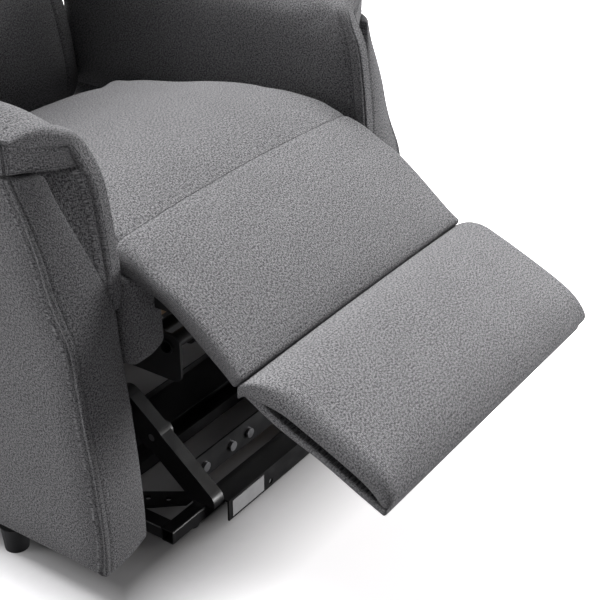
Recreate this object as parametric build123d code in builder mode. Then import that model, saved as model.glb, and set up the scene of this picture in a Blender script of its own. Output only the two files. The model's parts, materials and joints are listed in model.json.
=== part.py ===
"""Lift recliner chair, upholstered arms and seat on a steel lift base.

The origin is on the floor below the middle of the chair.  +X is to the sitter's left, +Y is to
the rear and +Z is up.  Side profiles are drawn by depth behind the arm fronts and by height.
The chair stands as it is used with its footrest out, its back upright and its lift down.
"""

import os
from math import atan2, cos, degrees, radians, sin

from build123d import *

os.makedirs("parts", exist_ok=True)

# ---- Driving dimensions, in millimetres and degrees ----
ARM_FRONT = -250  # row Y of the plane that the arm fronts stand on
ARM_INNER = 277  # half the width between the arms
ARM_OUTER = 382  # half the width over the arms
ARM_REAR = 640
ARM_BOTTOM = 40
ARM_TOP = 640
PAD_SEAM = 587  # height where the arm pad meets the arm's side
SEAT_HALF = 266
SEAT_BOTTOM = 346
SEAT_REAR = 525
BACK_LEAN = 12

# ---- Pivots, as (depth, height) ----
LIFT_PIVOT = (130, 150)
LIFT_CHAIR_PIVOT = (430, 125)
LIFT_CRANK = (180, 240)
LOWER_PIVOT = (84, 113)
LOWER_CHAIR_PIVOT = (270, 70)
LIFT_MOTOR_PIVOT = (430, 75)
FOOTREST_HINGE = (-65, 387)
TORQUE_PIVOT = (30, 292)
CRANK_REACH = (-48, -52)  # from the torque tube to the crank pin, and hinge to push pin
RECLINE_PIVOT = (600, 330)
BACK_MOTOR_PIVOT = (300, 280)
BACK_CRANK = (660, 250)

# ---- Stock sizes ----
TUBE_WALL = 2
BASE_TUBE = 22
BASE_HALF = 238
BASE_LOW = 3
BASE_HIGH = 25
BASE_FRONT = -4
BASE_REAR = 562
LINK = 5  # thickness of the lift links
PLATE = 4  # thickness of pressed plates
PIN_RADIUS = 6
RUNNING_GAP = 0.08
OPEN_PIN_GAP = 1.8  # the lower link's upper hole is a clearance hole
MOTOR_SIDE = 45  # how far each actuator stands to its side of the middle


def side_plane(x):
    """A plane across the chair at x: its own x is depth, and its own y is height."""
    return Plane(origin=(x, ARM_FRONT, 0), x_dir=(0, 1, 0), z_dir=(1, 0, 0))


def level_plane(height):
    """A level plane: its own x runs to the sitter's left, and its own y is depth."""
    return Plane(origin=(0, ARM_FRONT, height))


def front_plane(depth):
    """An upright plane that faces the front: its own x runs to the sitter's left."""
    return Plane(origin=(0, ARM_FRONT + depth, 0), x_dir=(1, 0, 0), z_dir=(0, -1, 0))


def save(builder, name):
    """Names a finished piece and writes it."""
    builder.part.label = name
    export_step(builder.part, f"parts/{name}.step")


def bar(start, end, width):
    """A bar with round ends about two points of a side profile."""
    rise, run = end[1] - start[1], end[0] - start[0]
    with Locations(((start[0] + end[0]) / 2, (start[1] + end[1]) / 2)):
        SlotCenterToCenter((rise**2 + run**2) ** 0.5, width, rotation=degrees(atan2(rise, run)))


def bar_chain(points, width):
    """Bars end to end through the points."""
    for start, end in zip(points, points[1:]):
        bar(start, end, width)


def hole(centre, radius):
    """A round hole in a side profile."""
    with Locations(centre):
        Circle(radius, mode=Mode.SUBTRACT)


def outline(points):
    """A straight-sided profile, closed."""
    with BuildLine() as edge:
        Polyline(*points, close=True)
    make_face(edge.edges())


def block(x_range, y_range, z_range, mode=Mode.ADD):
    """A block between two depths and two heights."""
    sizes = [high - low for low, high in (x_range, y_range, z_range)]
    middle = [(low + high) / 2 for low, high in (x_range, y_range, z_range)]
    with Locations((middle[0], ARM_FRONT + middle[1], middle[2])):
        Box(*sizes, mode=mode)


def rod(x_start, x_end, centre, radius, mode=Mode.ADD):
    """A round bar across the chair between two values of x."""
    with BuildSketch(side_plane(x_start)) as disc:
        with Locations(centre):
            Circle(radius)
    extrude(disc.sketch, amount=x_end - x_start, mode=mode)


def bolt(x_start, x_end, centre, head_radius, head=3):
    """A shank from x_start to x_end with a head beyond x_end."""
    rod(x_start, x_end, centre, PIN_RADIUS)
    rod(x_end, x_end + head, centre, head_radius)


def mirrored():
    """Adds the same piece on the other side of the chair."""
    mirror(about=Plane.YZ)


def back_point(rear, up):
    """Depth and height of a point given along and across the leaning back."""
    lean = radians(BACK_LEAN)
    depth = RECLINE_PIVOT[0] + rear * cos(lean) + up * sin(lean)
    height = RECLINE_PIVOT[1] - rear * sin(lean) + up * cos(lean)
    return depth, height


def back_outline(points):
    """A straight-sided profile on the leaning back."""
    outline([back_point(*point) for point in points])


# ================= Base, which stands on the floor =================

with BuildPart() as base_side_tubes:
    with BuildSketch(front_plane(BASE_FRONT + BASE_TUBE + 0.5)):
        with Locations((BASE_HALF - BASE_TUBE / 2, (BASE_LOW + BASE_HIGH) / 2)):
            RectangleRounded(BASE_TUBE, BASE_TUBE, 3)
            RectangleRounded(BASE_TUBE - 2 * TUBE_WALL, BASE_TUBE - 2 * TUBE_WALL, 1, mode=Mode.SUBTRACT)
    extrude(amount=-(BASE_REAR - BASE_FRONT - 2 * BASE_TUBE - 1))
    mirrored()
save(base_side_tubes, "base_side_tubes")

for name, depth in (("base_front_tube", BASE_FRONT), ("base_rear_tube", BASE_REAR - BASE_TUBE)):
    with BuildPart() as base_end_tube:
        with BuildSketch(side_plane(-BASE_HALF)):
            with Locations((depth + BASE_TUBE / 2, (BASE_LOW + BASE_HIGH) / 2)):
                RectangleRounded(BASE_TUBE, BASE_TUBE, 3)
                RectangleRounded(
                    BASE_TUBE - 2 * TUBE_WALL, BASE_TUBE - 2 * TUBE_WALL, 1, mode=Mode.SUBTRACT
                )
        extrude(amount=2 * BASE_HALF)
    save(base_end_tube, name)

# A channel that is open at the top, between the side tubes.
CHANNEL_START, CHANNEL_END = 138, 175
INSIDE_TUBES = BASE_HALF - BASE_TUBE
with BuildPart() as base_cross_channel:
    with BuildSketch(side_plane(-INSIDE_TUBES)):
        outline([
            (CHANNEL_START, BASE_HIGH), (CHANNEL_START, BASE_LOW + 2), (CHANNEL_END, BASE_LOW + 2),
            (CHANNEL_END, BASE_HIGH), (CHANNEL_END - 3, BASE_HIGH), (CHANNEL_END - 3, BASE_LOW + 5),
            (CHANNEL_START + 3, BASE_LOW + 5), (CHANNEL_START + 3, BASE_HIGH),
        ])
    extrude(amount=2 * INSIDE_TUBES)
save(base_cross_channel, "base_cross_channel")

# A shallow pan behind the channel, with a lip along its rear edge.
TRAY_END = 255
with BuildPart() as base_tray:
    with BuildSketch(side_plane(-INSIDE_TUBES)):
        outline([
            (CHANNEL_END, 16), (TRAY_END - 3, 16), (TRAY_END - 3, BASE_HIGH), (TRAY_END, BASE_HIGH),
            (TRAY_END, 13), (CHANNEL_END, 13),
        ])
    extrude(amount=2 * INSIDE_TUBES)
save(base_tray, "base_tray")

# An angle plate along the front of the front tube, off the middle, with one bolt hole.
FRONT_PLATE_X = (-151, 60)
with BuildPart() as base_front_plate:
    with BuildSketch(side_plane(FRONT_PLATE_X[0])):
        outline([
            (-35, BASE_LOW), (-35, 38), (BASE_FRONT, 38), (BASE_FRONT, 35), (-32, 35), (-32, BASE_LOW),
        ])
    extrude(amount=FRONT_PLATE_X[1] - FRONT_PLATE_X[0])
    with BuildSketch(front_plane(-31)):
        with Locations((-50, 12)):
            Circle(4.5)
    extrude(amount=10, mode=Mode.SUBTRACT)
save(base_front_plate, "base_front_plate")

# A blank plate where a rating label would be.
with BuildPart() as base_rating_plate:
    block((-143, -68), (-35.8, -35), (7, 34))
save(base_rating_plate, "base_rating_plate")

# A plate on edge behind the front tube, joined to both risers.
RISER_IN, RISER_OUT = 152, 174
TIE_PLATE_DEPTH = (28, 31)
TIE_BOLT_X = (-125, -62, -20, 62, 125)
with BuildPart() as base_tie_plate:
    block((-RISER_IN, RISER_IN), TIE_PLATE_DEPTH, (38, 80))
    with BuildSketch(front_plane(TIE_PLATE_DEPTH[0] - 1)):
        with Locations(*[(x, 58) for x in TIE_BOLT_X]):
            Circle(4.2)
    extrude(amount=-6, mode=Mode.SUBTRACT)
save(base_tie_plate, "base_tie_plate")

with BuildPart() as base_tie_bolts:
    with BuildSketch(front_plane(TIE_PLATE_DEPTH[0])):
        with Locations(*[(x, 58) for x in TIE_BOLT_X]):
            Circle(7.5)
    extrude(amount=5)
    with BuildSketch(front_plane(TIE_PLATE_DEPTH[0])):
        with Locations(*[(x, 58) for x in TIE_BOLT_X]):
            Circle(4.1)
    extrude(amount=-12)
save(base_tie_bolts, "base_tie_bolts")

# The risers lean back from the front tube up to the two lower pivots of the lift.
RISER_FOOT = (-8, 40)
RISER_TOP = (134, 156)
with BuildPart() as base_risers:
    with BuildSketch(side_plane(RISER_IN)):
        bar(RISER_FOOT, RISER_TOP, 38)
        bar(LOWER_PIVOT, LIFT_PIVOT, 44)
        with Locations((BASE_FRONT - 15, BASE_HIGH / 2)):
            Rectangle(60, BASE_HIGH + 20, mode=Mode.SUBTRACT)
        with Locations((BASE_FRONT + BASE_TUBE / 2, 0)):
            Rectangle(BASE_TUBE + 2, 2 * BASE_HIGH, mode=Mode.SUBTRACT)
        hole(LIFT_PIVOT, PIN_RADIUS + RUNNING_GAP)
        hole(LOWER_PIVOT, PIN_RADIUS + RUNNING_GAP)
    extrude(amount=RISER_OUT - RISER_IN)
    mirrored()
save(base_risers, "base_risers")

# Flat gussets on top of the base, from each riser's foot out to the side tube.
with BuildPart() as base_gussets:
    with BuildSketch(level_plane(BASE_HIGH)):
        outline([(145, 19), (180, 19), (238, 86), (238, 112), (196, 112), (196, 92)])
        with Locations((186, 47), (200, 73)):
            Circle(4.5, mode=Mode.SUBTRACT)
    extrude(amount=PLATE)
    mirrored()
save(base_gussets, "base_gussets")

# The rear channel carries the lugs of the lift actuator.
with BuildPart() as base_motor_bracket:
    block((-INSIDE_TUBES, INSIDE_TUBES), (410, 450), (BASE_LOW + 2, BASE_HIGH))
    for x_low in (MOTOR_SIDE - 24, MOTOR_SIDE + 20):
        with BuildSketch(side_plane(x_low)):
            bar((LIFT_MOTOR_PIVOT[0], BASE_HIGH), LIFT_MOTOR_PIVOT, 28)
            with Locations((LIFT_MOTOR_PIVOT[0], BASE_HIGH - 14)):
                Rectangle(28, 20, mode=Mode.SUBTRACT)
            hole(LIFT_MOTOR_PIVOT, PIN_RADIUS + RUNNING_GAP)
        extrude(amount=PLATE)
save(base_motor_bracket, "base_motor_bracket")

with BuildPart() as base_glides:
    for depth in (BASE_FRONT + BASE_TUBE / 2, BASE_REAR - BASE_TUBE / 2):
        with BuildSketch(level_plane(0)):
            with Locations((184, depth), (-184, depth)):
                Circle(10.5)
        extrude(amount=BASE_LOW)
save(base_glides, "base_glides")

# Bolts that hold the links to the risers, heads on the link's side.
LINK_IN = 178
LOWER_LINK_IN = 143
with BuildPart() as base_pivot_bolts:
    bolt(RISER_IN + 1, LINK_IN + LINK + 0.5, LIFT_PIVOT, 10)
    bolt(RISER_OUT - 1, LOWER_LINK_IN - 0.5, LOWER_PIVOT, 10, head=-3)
    mirrored()
save(base_pivot_bolts, "base_pivot_bolts")

# ================= Lift links =================

with BuildPart() as lift_links:
    with BuildSketch(side_plane(LINK_IN)):
        bar(LIFT_PIVOT, LIFT_CHAIR_PIVOT, 36)
        bar(LIFT_PIVOT, LIFT_CRANK, 34)
        hole(LIFT_PIVOT, PIN_RADIUS + RUNNING_GAP)
        hole(LIFT_CHAIR_PIVOT, PIN_RADIUS + RUNNING_GAP)
    extrude(amount=LINK)
    mirrored()
save(lift_links, "lift_links")

# The cross tube joins the two link cranks, and its lugs take the actuator's rod.
CRANK_TUBE = (161.5, 206.8)
with BuildPart() as lift_cross_tube:
    with BuildSketch(side_plane(-LINK_IN)):
        with Locations(CRANK_TUBE):
            Circle(12.5)
            Circle(10, mode=Mode.SUBTRACT)
    extrude(amount=2 * LINK_IN)
    for x_low in (MOTOR_SIDE - 16, MOTOR_SIDE + 12):
        with BuildSketch(side_plane(x_low)):
            bar(CRANK_TUBE, LIFT_CRANK, 25)
            hole(CRANK_TUBE, 12)
        extrude(amount=PLATE)
        outer = x_low - 2.5 if x_low < MOTOR_SIDE else x_low + PLATE
        rod(outer, outer + 2.5, LIFT_CRANK, 9)
save(lift_cross_tube, "lift_cross_tube")

with BuildPart() as lower_links:
    with BuildSketch(side_plane(LOWER_LINK_IN)):
        bar(LOWER_PIVOT, LOWER_CHAIR_PIVOT, 32)
        hole(LOWER_PIVOT, PIN_RADIUS + RUNNING_GAP)
        hole(LOWER_CHAIR_PIVOT, PIN_RADIUS + OPEN_PIN_GAP)
    extrude(amount=LINK)
    mirrored()
save(lower_links, "lower_links")

# ================= Linear actuators =================


def actuator(prefix, pivot, target, side, retract):
    """A gear housing with its motor, an outer tube, and a rod that can still retract so far."""
    rise, run = target[1] - pivot[1], target[0] - pivot[0]
    length = (rise**2 + run**2) ** 0.5
    toward = (0, run / length, rise / length)

    def station(distance):
        start = (side, ARM_FRONT + pivot[0] + toward[1] * distance, pivot[1] + toward[2] * distance)
        return Plane(origin=start, x_dir=(1, 0, 0), z_dir=toward)

    with BuildPart() as motor:
        rod(side - 19, side + 19, pivot, 13)
        rod(side - 24.5, side + 24.5, pivot, PIN_RADIUS)
        with BuildSketch(station(8)):
            RectangleRounded(34, 24, 4)
        extrude(amount=20)
        with BuildSketch(station(26)):
            with Locations((0, 16)):
                RectangleRounded(38, 78, 8)
        extrude(amount=44)
        with BuildSketch(station(70)):
            with Locations((0, 36)):
                Circle(18.5)
        extrude(amount=96)
    save(motor, f"{prefix}_motor")

    with BuildPart() as outer_tube:
        with BuildSketch(station(70)):
            Circle(16)
            Circle(10.4, mode=Mode.SUBTRACT)
        extrude(amount=length - 70 - 42 - retract)
        with BuildSketch(station(length - 60 - retract)):
            Circle(17)
            Circle(10.4, mode=Mode.SUBTRACT)
        extrude(amount=18)
    save(outer_tube, f"{prefix}_actuator_tube")

    with BuildPart() as inner_rod:
        with BuildSketch(station(92 + retract)):
            Circle(10)
        extrude(amount=length - 92 - 12 - retract)
        with BuildSketch(station(length - 24)):
            RectangleRounded(20, 20, 3)
        extrude(amount=18)
        rod(side - 11.4, side + 11.4, target, 13)
    save(inner_rod, f"{prefix}_actuator_rod")


actuator("lift", LIFT_MOTOR_PIVOT, LIFT_CRANK, MOTOR_SIDE, 0)
actuator("back", BACK_MOTOR_PIVOT, BACK_CRANK, -MOTOR_SIDE, 50)

# ================= Chair frame =================

SIDE_IN, SIDE_OUT = 187, 191
FRAME_LOW, FRAME_HIGH = 240, 312
with BuildPart() as frame_side_plates:
    with BuildSketch(side_plane(SIDE_IN)):
        with Locations((306, (FRAME_LOW + FRAME_HIGH) / 2)):
            RectangleRounded(596, FRAME_HIGH - FRAME_LOW, 12)
        bar((560, 300), RECLINE_PIVOT, 40)
        hole(TORQUE_PIVOT, 11 + RUNNING_GAP)
        hole(RECLINE_PIVOT, PIN_RADIUS + RUNNING_GAP)
        for depth in (160, 220, 340, 400, 460):
            hole((depth, 276), 9)
    extrude(amount=SIDE_OUT - SIDE_IN)
    mirrored()
save(frame_side_plates, "frame_side_plates")

# Flat bars below the seat rails, from the side plates out to the arms.
with BuildPart() as frame_outriggers:
    for depth in (150, 470):
        block((SIDE_OUT, ARM_INNER - 0.5), (depth, depth + 34), (296, 299.6))
    mirrored()
save(frame_outriggers, "frame_outriggers")

# Square tubes between the side plates, the middle one with the lugs of the back actuator.
CROSS_TUBES = ((66, 264), (258, 242), (548, 290))
with BuildPart() as frame_cross_tubes:
    for depth, height in CROSS_TUBES:
        with BuildSketch(side_plane(-SIDE_IN)):
            with Locations((depth + 11, height + 11)):
                RectangleRounded(22, 22, 3)
                RectangleRounded(18, 18, 1, mode=Mode.SUBTRACT)
        extrude(amount=2 * SIDE_IN)
    for x_low in (-MOTOR_SIDE - 24, -MOTOR_SIDE + 20):
        with BuildSketch(side_plane(x_low)):
            bar((276, 262), BACK_MOTOR_PIVOT, 24)
            with Locations((269, 253)):
                Rectangle(22, 22, mode=Mode.SUBTRACT)
            hole(BACK_MOTOR_PIVOT, PIN_RADIUS + RUNNING_GAP)
        extrude(amount=PLATE)
save(frame_cross_tubes, "frame_cross_tubes")

# Hangers that reach down to the links' chair pivots.
HANGER_IN = 136
with BuildPart() as link_hangers:
    with BuildSketch(side_plane(SIDE_IN)):
        bar(LIFT_CHAIR_PIVOT, (LIFT_CHAIR_PIVOT[0], 214), 40)
        with Locations((LIFT_CHAIR_PIVOT[0], 220)):
            Rectangle(70, 39.9)
        hole(LIFT_CHAIR_PIVOT, PIN_RADIUS + RUNNING_GAP)
    extrude(amount=PLATE)
    with BuildSketch(side_plane(HANGER_IN)):
        bar(LOWER_CHAIR_PIVOT, (LOWER_CHAIR_PIVOT[0], 215), 34)
        with Locations((LOWER_CHAIR_PIVOT[0], 225)):
            Rectangle(34, 33.9)
        hole(LOWER_CHAIR_PIVOT, PIN_RADIUS + RUNNING_GAP)
    extrude(amount=PLATE)
    mirrored()
save(link_hangers, "link_hangers")

# Bolts at the chair ends of the links, at the footrest hinge and at the recline hinge.
HINGE_IN, HINGE_OUT = 229.5, 233.5
ARM_BAR_IN, ARM_BAR_OUT = 236, 240
BACK_PLATE_IN, BACK_PLATE_OUT = 193, 197
with BuildPart() as chair_pivot_bolts:
    bolt(LINK_IN + 0.5, SIDE_OUT, LIFT_CHAIR_PIVOT, 10)
    bolt(LOWER_LINK_IN + LINK + 0.3, HANGER_IN, LOWER_CHAIR_PIVOT, 10, head=-3)
    bolt(ARM_BAR_OUT + 0.3, HINGE_IN, FOOTREST_HINGE, 9, head=-3)
    bolt(BACK_PLATE_OUT + 0.3, SIDE_IN, RECLINE_PIVOT, 10, head=-3)
    mirrored()
save(chair_pivot_bolts, "chair_pivot_bolts")

with BuildPart() as footrest_hinge_brackets:
    with BuildSketch(side_plane(HINGE_IN)):
        bar_chain([FOOTREST_HINGE, (40, 386), (46, 322), (110, 318)], 18)
        hole(FOOTREST_HINGE, PIN_RADIUS + RUNNING_GAP)
    extrude(amount=HINGE_OUT - HINGE_IN)
    mirrored()
save(footrest_hinge_brackets, "footrest_hinge_brackets")

RAIL_LOW, RAIL_HIGH = 300, 336
with BuildPart() as seat_side_rails:
    block((HINGE_OUT + 0.5, 258), (63, 540), (RAIL_LOW, RAIL_HIGH))
    mirrored()
save(seat_side_rails, "seat_side_rails")

with BuildPart() as seat_cross_rails:
    block((-HINGE_IN + 0.5, HINGE_IN - 0.5), (64, 86), (RAIL_LOW + 14, RAIL_HIGH))
    block((-HINGE_IN + 0.5, HINGE_IN - 0.5), (515, 537), (RAIL_LOW + 14, RAIL_HIGH))
save(seat_cross_rails, "seat_cross_rails")

# Flat zigzag springs from the front rail to the rear rail.
SPRING_X = (-170, -85, 0, 85, 170)
SPRING_WAVES = 14
SPRING_WIRE = 4
with BuildPart() as seat_springs:
    with BuildSketch(level_plane(RAIL_HIGH)):
        for middle in SPRING_X:
            step = (537 - 64) / SPRING_WAVES
            with BuildLine() as wave:
                Polyline(*[
                    (middle + (22 if count % 2 else -22), 64 + step * (count + 0.5))
                    for count in range(SPRING_WAVES)
                ])
            trace(wave.line, line_width=SPRING_WIRE)
    extrude(amount=SPRING_WIRE)
save(seat_springs, "seat_springs")

with BuildPart() as control_box:
    block((70, 168), (455, 512), (246, 284))
    fillet(control_box.edges().filter_by(Axis.Z), 6)
    with BuildSketch(front_plane(512)):
        with Locations((90, 262), (148, 262)):
            Circle(6)
        with Locations((119, 262)):
            RectangleRounded(22, 12, 2)
    extrude(amount=12, mode=Mode.SUBTRACT)
save(control_box, "control_box")

# ================= Seat upholstery =================

KNUCKLE = 24  # radius of the padded roll about the footrest hinge
KNUCKLE_HALF = 204
CHEEK_INNER = 208
CHEEK_REAR = 61
CHEEK_TOP = 440
with BuildPart() as seat_cushion:
    with BuildSketch(side_plane(-SEAT_HALF)):
        with BuildLine():
            Polyline(
                (SEAT_REAR, 425), (SEAT_REAR, SEAT_BOTTOM), (-10, SEAT_BOTTOM), (-28, 362),
                (-36, 387), (-50, 400), (-50, 428),
            )
            Spline((-50, 428), (15, 470), (84, 487), (178, 492), (338, 468), (SEAT_REAR, 425))
        make_face()
        hole(FOOTREST_HINGE, KNUCKLE + 3)
    extrude(amount=2 * SEAT_HALF)
    for low, high in ((-SEAT_HALF - 1, 3 - CHEEK_INNER), (CHEEK_INNER - 3, SEAT_HALF + 1)):
        block((low, high), (-60, CHEEK_REAR + 2), (SEAT_BOTTOM - 1, CHEEK_TOP + 3), Mode.SUBTRACT)
save(seat_cushion, "seat_cushion")

# Padded front corners below the seat, each with a slot for its hinge bracket.
with BuildPart() as seat_cheeks:
    with BuildSketch(front_plane(CHEEK_REAR)):
        with BuildLine():
            Polyline((CHEEK_INNER + 26, 303), (274, 303), (274, CHEEK_TOP), (CHEEK_INNER, CHEEK_TOP))
            Line((CHEEK_INNER, CHEEK_TOP), (CHEEK_INNER, 329))
            RadiusArc((CHEEK_INNER, 329), (CHEEK_INNER + 26, 303), -26)
        make_face()
    extrude(amount=CHEEK_REAR - 12)
    block((HINGE_IN - 1, HINGE_OUT + 1), (0, 70), (368, 404), Mode.SUBTRACT)
    block((HINGE_IN - 1, HINGE_OUT + 1), (29, 70), (300, 404), Mode.SUBTRACT)
    mirrored()
save(seat_cheeks, "seat_cheeks")

# ================= Arms =================

ARM_FRONT_CURVE = ((-8, 60), (-11, 110), (-3, 215), (20, 385), (47, 455), (78, 543), (98, PAD_SEAM))
PANEL_OUT = 302  # outer side of the padded panel that lines each arm
LINING_LOW = 390
LINING_FRONT = ((33, 400), (33, 450), (40, 528), (58, 576), (100, 608), (150, 622))


def arm_side():
    """The side profile of an arm below its pad."""
    with BuildLine() as edge:
        Spline(*ARM_FRONT_CURVE)
        Polyline(ARM_FRONT_CURVE[-1], (ARM_REAR, PAD_SEAM), (ARM_REAR, ARM_BOTTOM), (0, ARM_BOTTOM))
        Line((0, ARM_BOTTOM), ARM_FRONT_CURVE[0])
    make_face(edge.edges())


def lining_side(margin):
    """The side profile of the padded lining above the seat, larger by the margin."""
    with BuildLine() as edge:
        front = [(depth - margin, height) for depth, height in LINING_FRONT]
        Spline(*front)
        low = LINING_LOW - margin
        Polyline(front[-1], (ARM_REAR, 622), (ARM_REAR, low), (front[0][0], low), front[0])
    make_face(edge.edges())


FRAME_BOARD = (330, 348)
with BuildPart() as arm_shells:
    with BuildSketch(side_plane(ARM_INNER)):
        arm_side()
    extrude(amount=ARM_OUTER - ARM_INNER)
    with BuildSketch(side_plane(ARM_INNER - 1)):
        lining_side(0.5)
    extrude(amount=PANEL_OUT - ARM_INNER + 1.5, mode=Mode.SUBTRACT)
    block((FRAME_BOARD[0] - 0.5, FRAME_BOARD[1] + 0.5), (109, 621), (58, 571), Mode.SUBTRACT)
    mirrored()
save(arm_shells, "arm_shells")

with BuildPart() as arm_frames:
    block(FRAME_BOARD, (110, 620), (58, 570))
    mirrored()
save(arm_frames, "arm_frames")

with BuildPart() as arm_pads:
    with BuildSketch(side_plane(ARM_INNER)):
        lining_side(0)
    extrude(amount=PANEL_OUT - ARM_INNER)
    with BuildSketch(side_plane(ARM_INNER)):
        with BuildLine():
            Spline((92, PAD_SEAM + 0.5), (104, 620), (150, ARM_TOP), tangents=((0.1, 1), (1, 0.15)))
            Polyline(
                (150, ARM_TOP), (ARM_REAR, ARM_TOP), (ARM_REAR, PAD_SEAM + 0.5), (92, PAD_SEAM + 0.5)
            )
        make_face()
    extrude(amount=ARM_OUTER - ARM_INNER)
    mirrored()
save(arm_pads, "arm_pads")

with BuildPart() as arm_feet:
    for depth in (178, 590):
        with BuildSketch(level_plane(0)):
            with Locations((360, depth)):
                Circle(17)
        with BuildSketch(level_plane(ARM_BOTTOM)):
            with Locations((360, depth)):
                Circle(21)
        loft()
    mirrored()
save(arm_feet, "arm_feet")

# A flat pocket on the outer side of each arm.
POCKET_OUT = ARM_OUTER + 26
POCKET_Y = (400, 560)
POCKET_Z = (352, 500)
with BuildPart() as side_pockets:
    block((ARM_OUTER + 0.3, POCKET_OUT), POCKET_Y, POCKET_Z)
    fillet(side_pockets.edges().filter_by(Axis.X).group_by(Axis.Z)[0], 20)
    block(
        (ARM_OUTER + 2.3, POCKET_OUT - 2), (POCKET_Y[0] + 4, POCKET_Y[1] - 4),
        (POCKET_Z[0] + 8, POCKET_Z[1] + 1), Mode.SUBTRACT,
    )
    mirrored()
save(side_pockets, "side_pockets")

# ================= Handset, which stands in the right pocket =================

HANDSET_X = (-POCKET_OUT + 3, -ARM_OUTER - 4.5)
HANDSET_Y = (454, 506)
HANDSET_Z = (POCKET_Z[0] + 8.3, 540)
BUTTONS = (("button_up", 14), ("button_down", 34), ("button_back", 54), ("button_foot", 74))
with BuildPart() as handset_case:
    block(HANDSET_X, HANDSET_Y, HANDSET_Z)
    fillet(handset_case.edges().filter_by(Axis.X), 9)
    with BuildSketch(Plane.YZ.offset(HANDSET_X[0])):
        for _, drop in BUTTONS:
            with Locations((ARM_FRONT + sum(HANDSET_Y) / 2, HANDSET_Z[1] - drop)):
                RectangleRounded(30.6, 12.6, 4.3)
    extrude(amount=6, mode=Mode.SUBTRACT)
    with BuildSketch(level_plane(HANDSET_Z[0])):
        with Locations((sum(HANDSET_X) / 2, sum(HANDSET_Y) / 2)):
            Circle(4)
    extrude(amount=10, mode=Mode.SUBTRACT)
save(handset_case, "handset_case")

for name, drop in BUTTONS:
    with BuildPart() as button:
        with BuildSketch(Plane.YZ.offset(HANDSET_X[0] - 0.5)):
            with Locations((ARM_FRONT + sum(HANDSET_Y) / 2, HANDSET_Z[1] - drop)):
                RectangleRounded(30, 12, 4)
        extrude(amount=4.6)
    save(button, f"handset_{name}")

# ================= Footrest =================

HINGE_D, HINGE_H = FOOTREST_HINGE
PUSH_PIN = (HINGE_D + CRANK_REACH[0], HINGE_H + CRANK_REACH[1])
CRANK_PIN = (TORQUE_PIVOT[0] + CRANK_REACH[0], TORQUE_PIVOT[1] + CRANK_REACH[1])
BREAK_LINE = (-157, 351)  # the valley between the calf section and the footrest pad

with BuildPart() as calf_pad:
    with BuildSketch(side_plane(-SEAT_HALF)):
        outline([
            (-79.7, 406), BREAK_LINE, (-141, 330), (HINGE_D - 2, HINGE_H - 2), (HINGE_D, HINGE_H + 18),
        ])
    extrude(amount=2 * SEAT_HALF)
    with BuildSketch(side_plane(-KNUCKLE_HALF)):
        with Locations(FOOTREST_HINGE):
            Circle(KNUCKLE)
    extrude(amount=2 * KNUCKLE_HALF)
    for low, high in ((HINGE_IN - 4, SEAT_HALF + 1), (-SEAT_HALF - 1, 4 - HINGE_IN)):
        block((low, high), (-100, -30), (340, 402), Mode.SUBTRACT)
save(calf_pad, "calf_pad")

with BuildPart() as footrest_pad:
    with BuildSketch(side_plane(-SEAT_HALF)):
        with BuildLine():
            Spline((-160, 349), (-187, 353), (-254, 331), (-330, 296), (-362, 262))
            Polyline((-362, 262), (-367, 240), (-358, 226), (-160, 316), (-160, 349))
        make_face()
    extrude(amount=2 * SEAT_HALF)
save(footrest_pad, "footrest_pad")

with BuildPart() as footrest_board:
    with BuildSketch(side_plane(-ARM_BAR_IN + 0.5)):
        outline([(-176, 308.2), (-344, 231.8), (-344, 219.8), (-176, 296.2)])
    extrude(amount=2 * ARM_BAR_IN - 1)
save(footrest_board, "footrest_board")

ARM_BAR_LINE = [FOOTREST_HINGE, (-92, 349), (-150, 305), (-292, 240.5)]
FOOT_TUBE = (-138, 318)
FOOT_TUBE_RADIUS = 9
with BuildPart() as footrest_arms:
    with BuildSketch(side_plane(ARM_BAR_IN)):
        bar_chain(ARM_BAR_LINE, 20)
        hole(FOOTREST_HINGE, PIN_RADIUS + RUNNING_GAP)
        hole((-240, 264), 3)
        hole((-276, 248), 3)
    extrude(amount=ARM_BAR_OUT - ARM_BAR_IN)
    mirrored()
save(footrest_arms, "footrest_arms")

PUSH_SIDE = 35
with BuildPart() as footrest_cross_tube:
    with BuildSketch(side_plane(-ARM_BAR_IN)):
        with Locations(FOOT_TUBE):
            Circle(FOOT_TUBE_RADIUS)
            Circle(FOOT_TUBE_RADIUS - TUBE_WALL, mode=Mode.SUBTRACT)
    extrude(amount=2 * ARM_BAR_IN)
    with BuildSketch(side_plane(PUSH_SIDE)):
        bar(FOOT_TUBE, PUSH_PIN, 18)
        hole(FOOT_TUBE, FOOT_TUBE_RADIUS - 0.5)
        hole(PUSH_PIN, 5 + RUNNING_GAP)
    extrude(amount=PLATE)
    mirrored()
save(footrest_cross_tube, "footrest_cross_tube")

# Each push link has its own pin in the footrest's lug; the far end only lies beside the crank.
with BuildPart() as push_links:
    with BuildSketch(side_plane(PUSH_SIDE - PLATE - 0.8)):
        bar(PUSH_PIN, CRANK_PIN, 16)
        hole(CRANK_PIN, 5 + RUNNING_GAP)
    extrude(amount=PLATE)
    rod(PUSH_SIDE - PLATE - 0.8, PUSH_SIDE + PLATE + 0.6, PUSH_PIN, 5)
    rod(PUSH_SIDE + PLATE + 0.6, PUSH_SIDE + PLATE + 3, PUSH_PIN, 8)
    mirrored()
save(push_links, "push_links")

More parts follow.
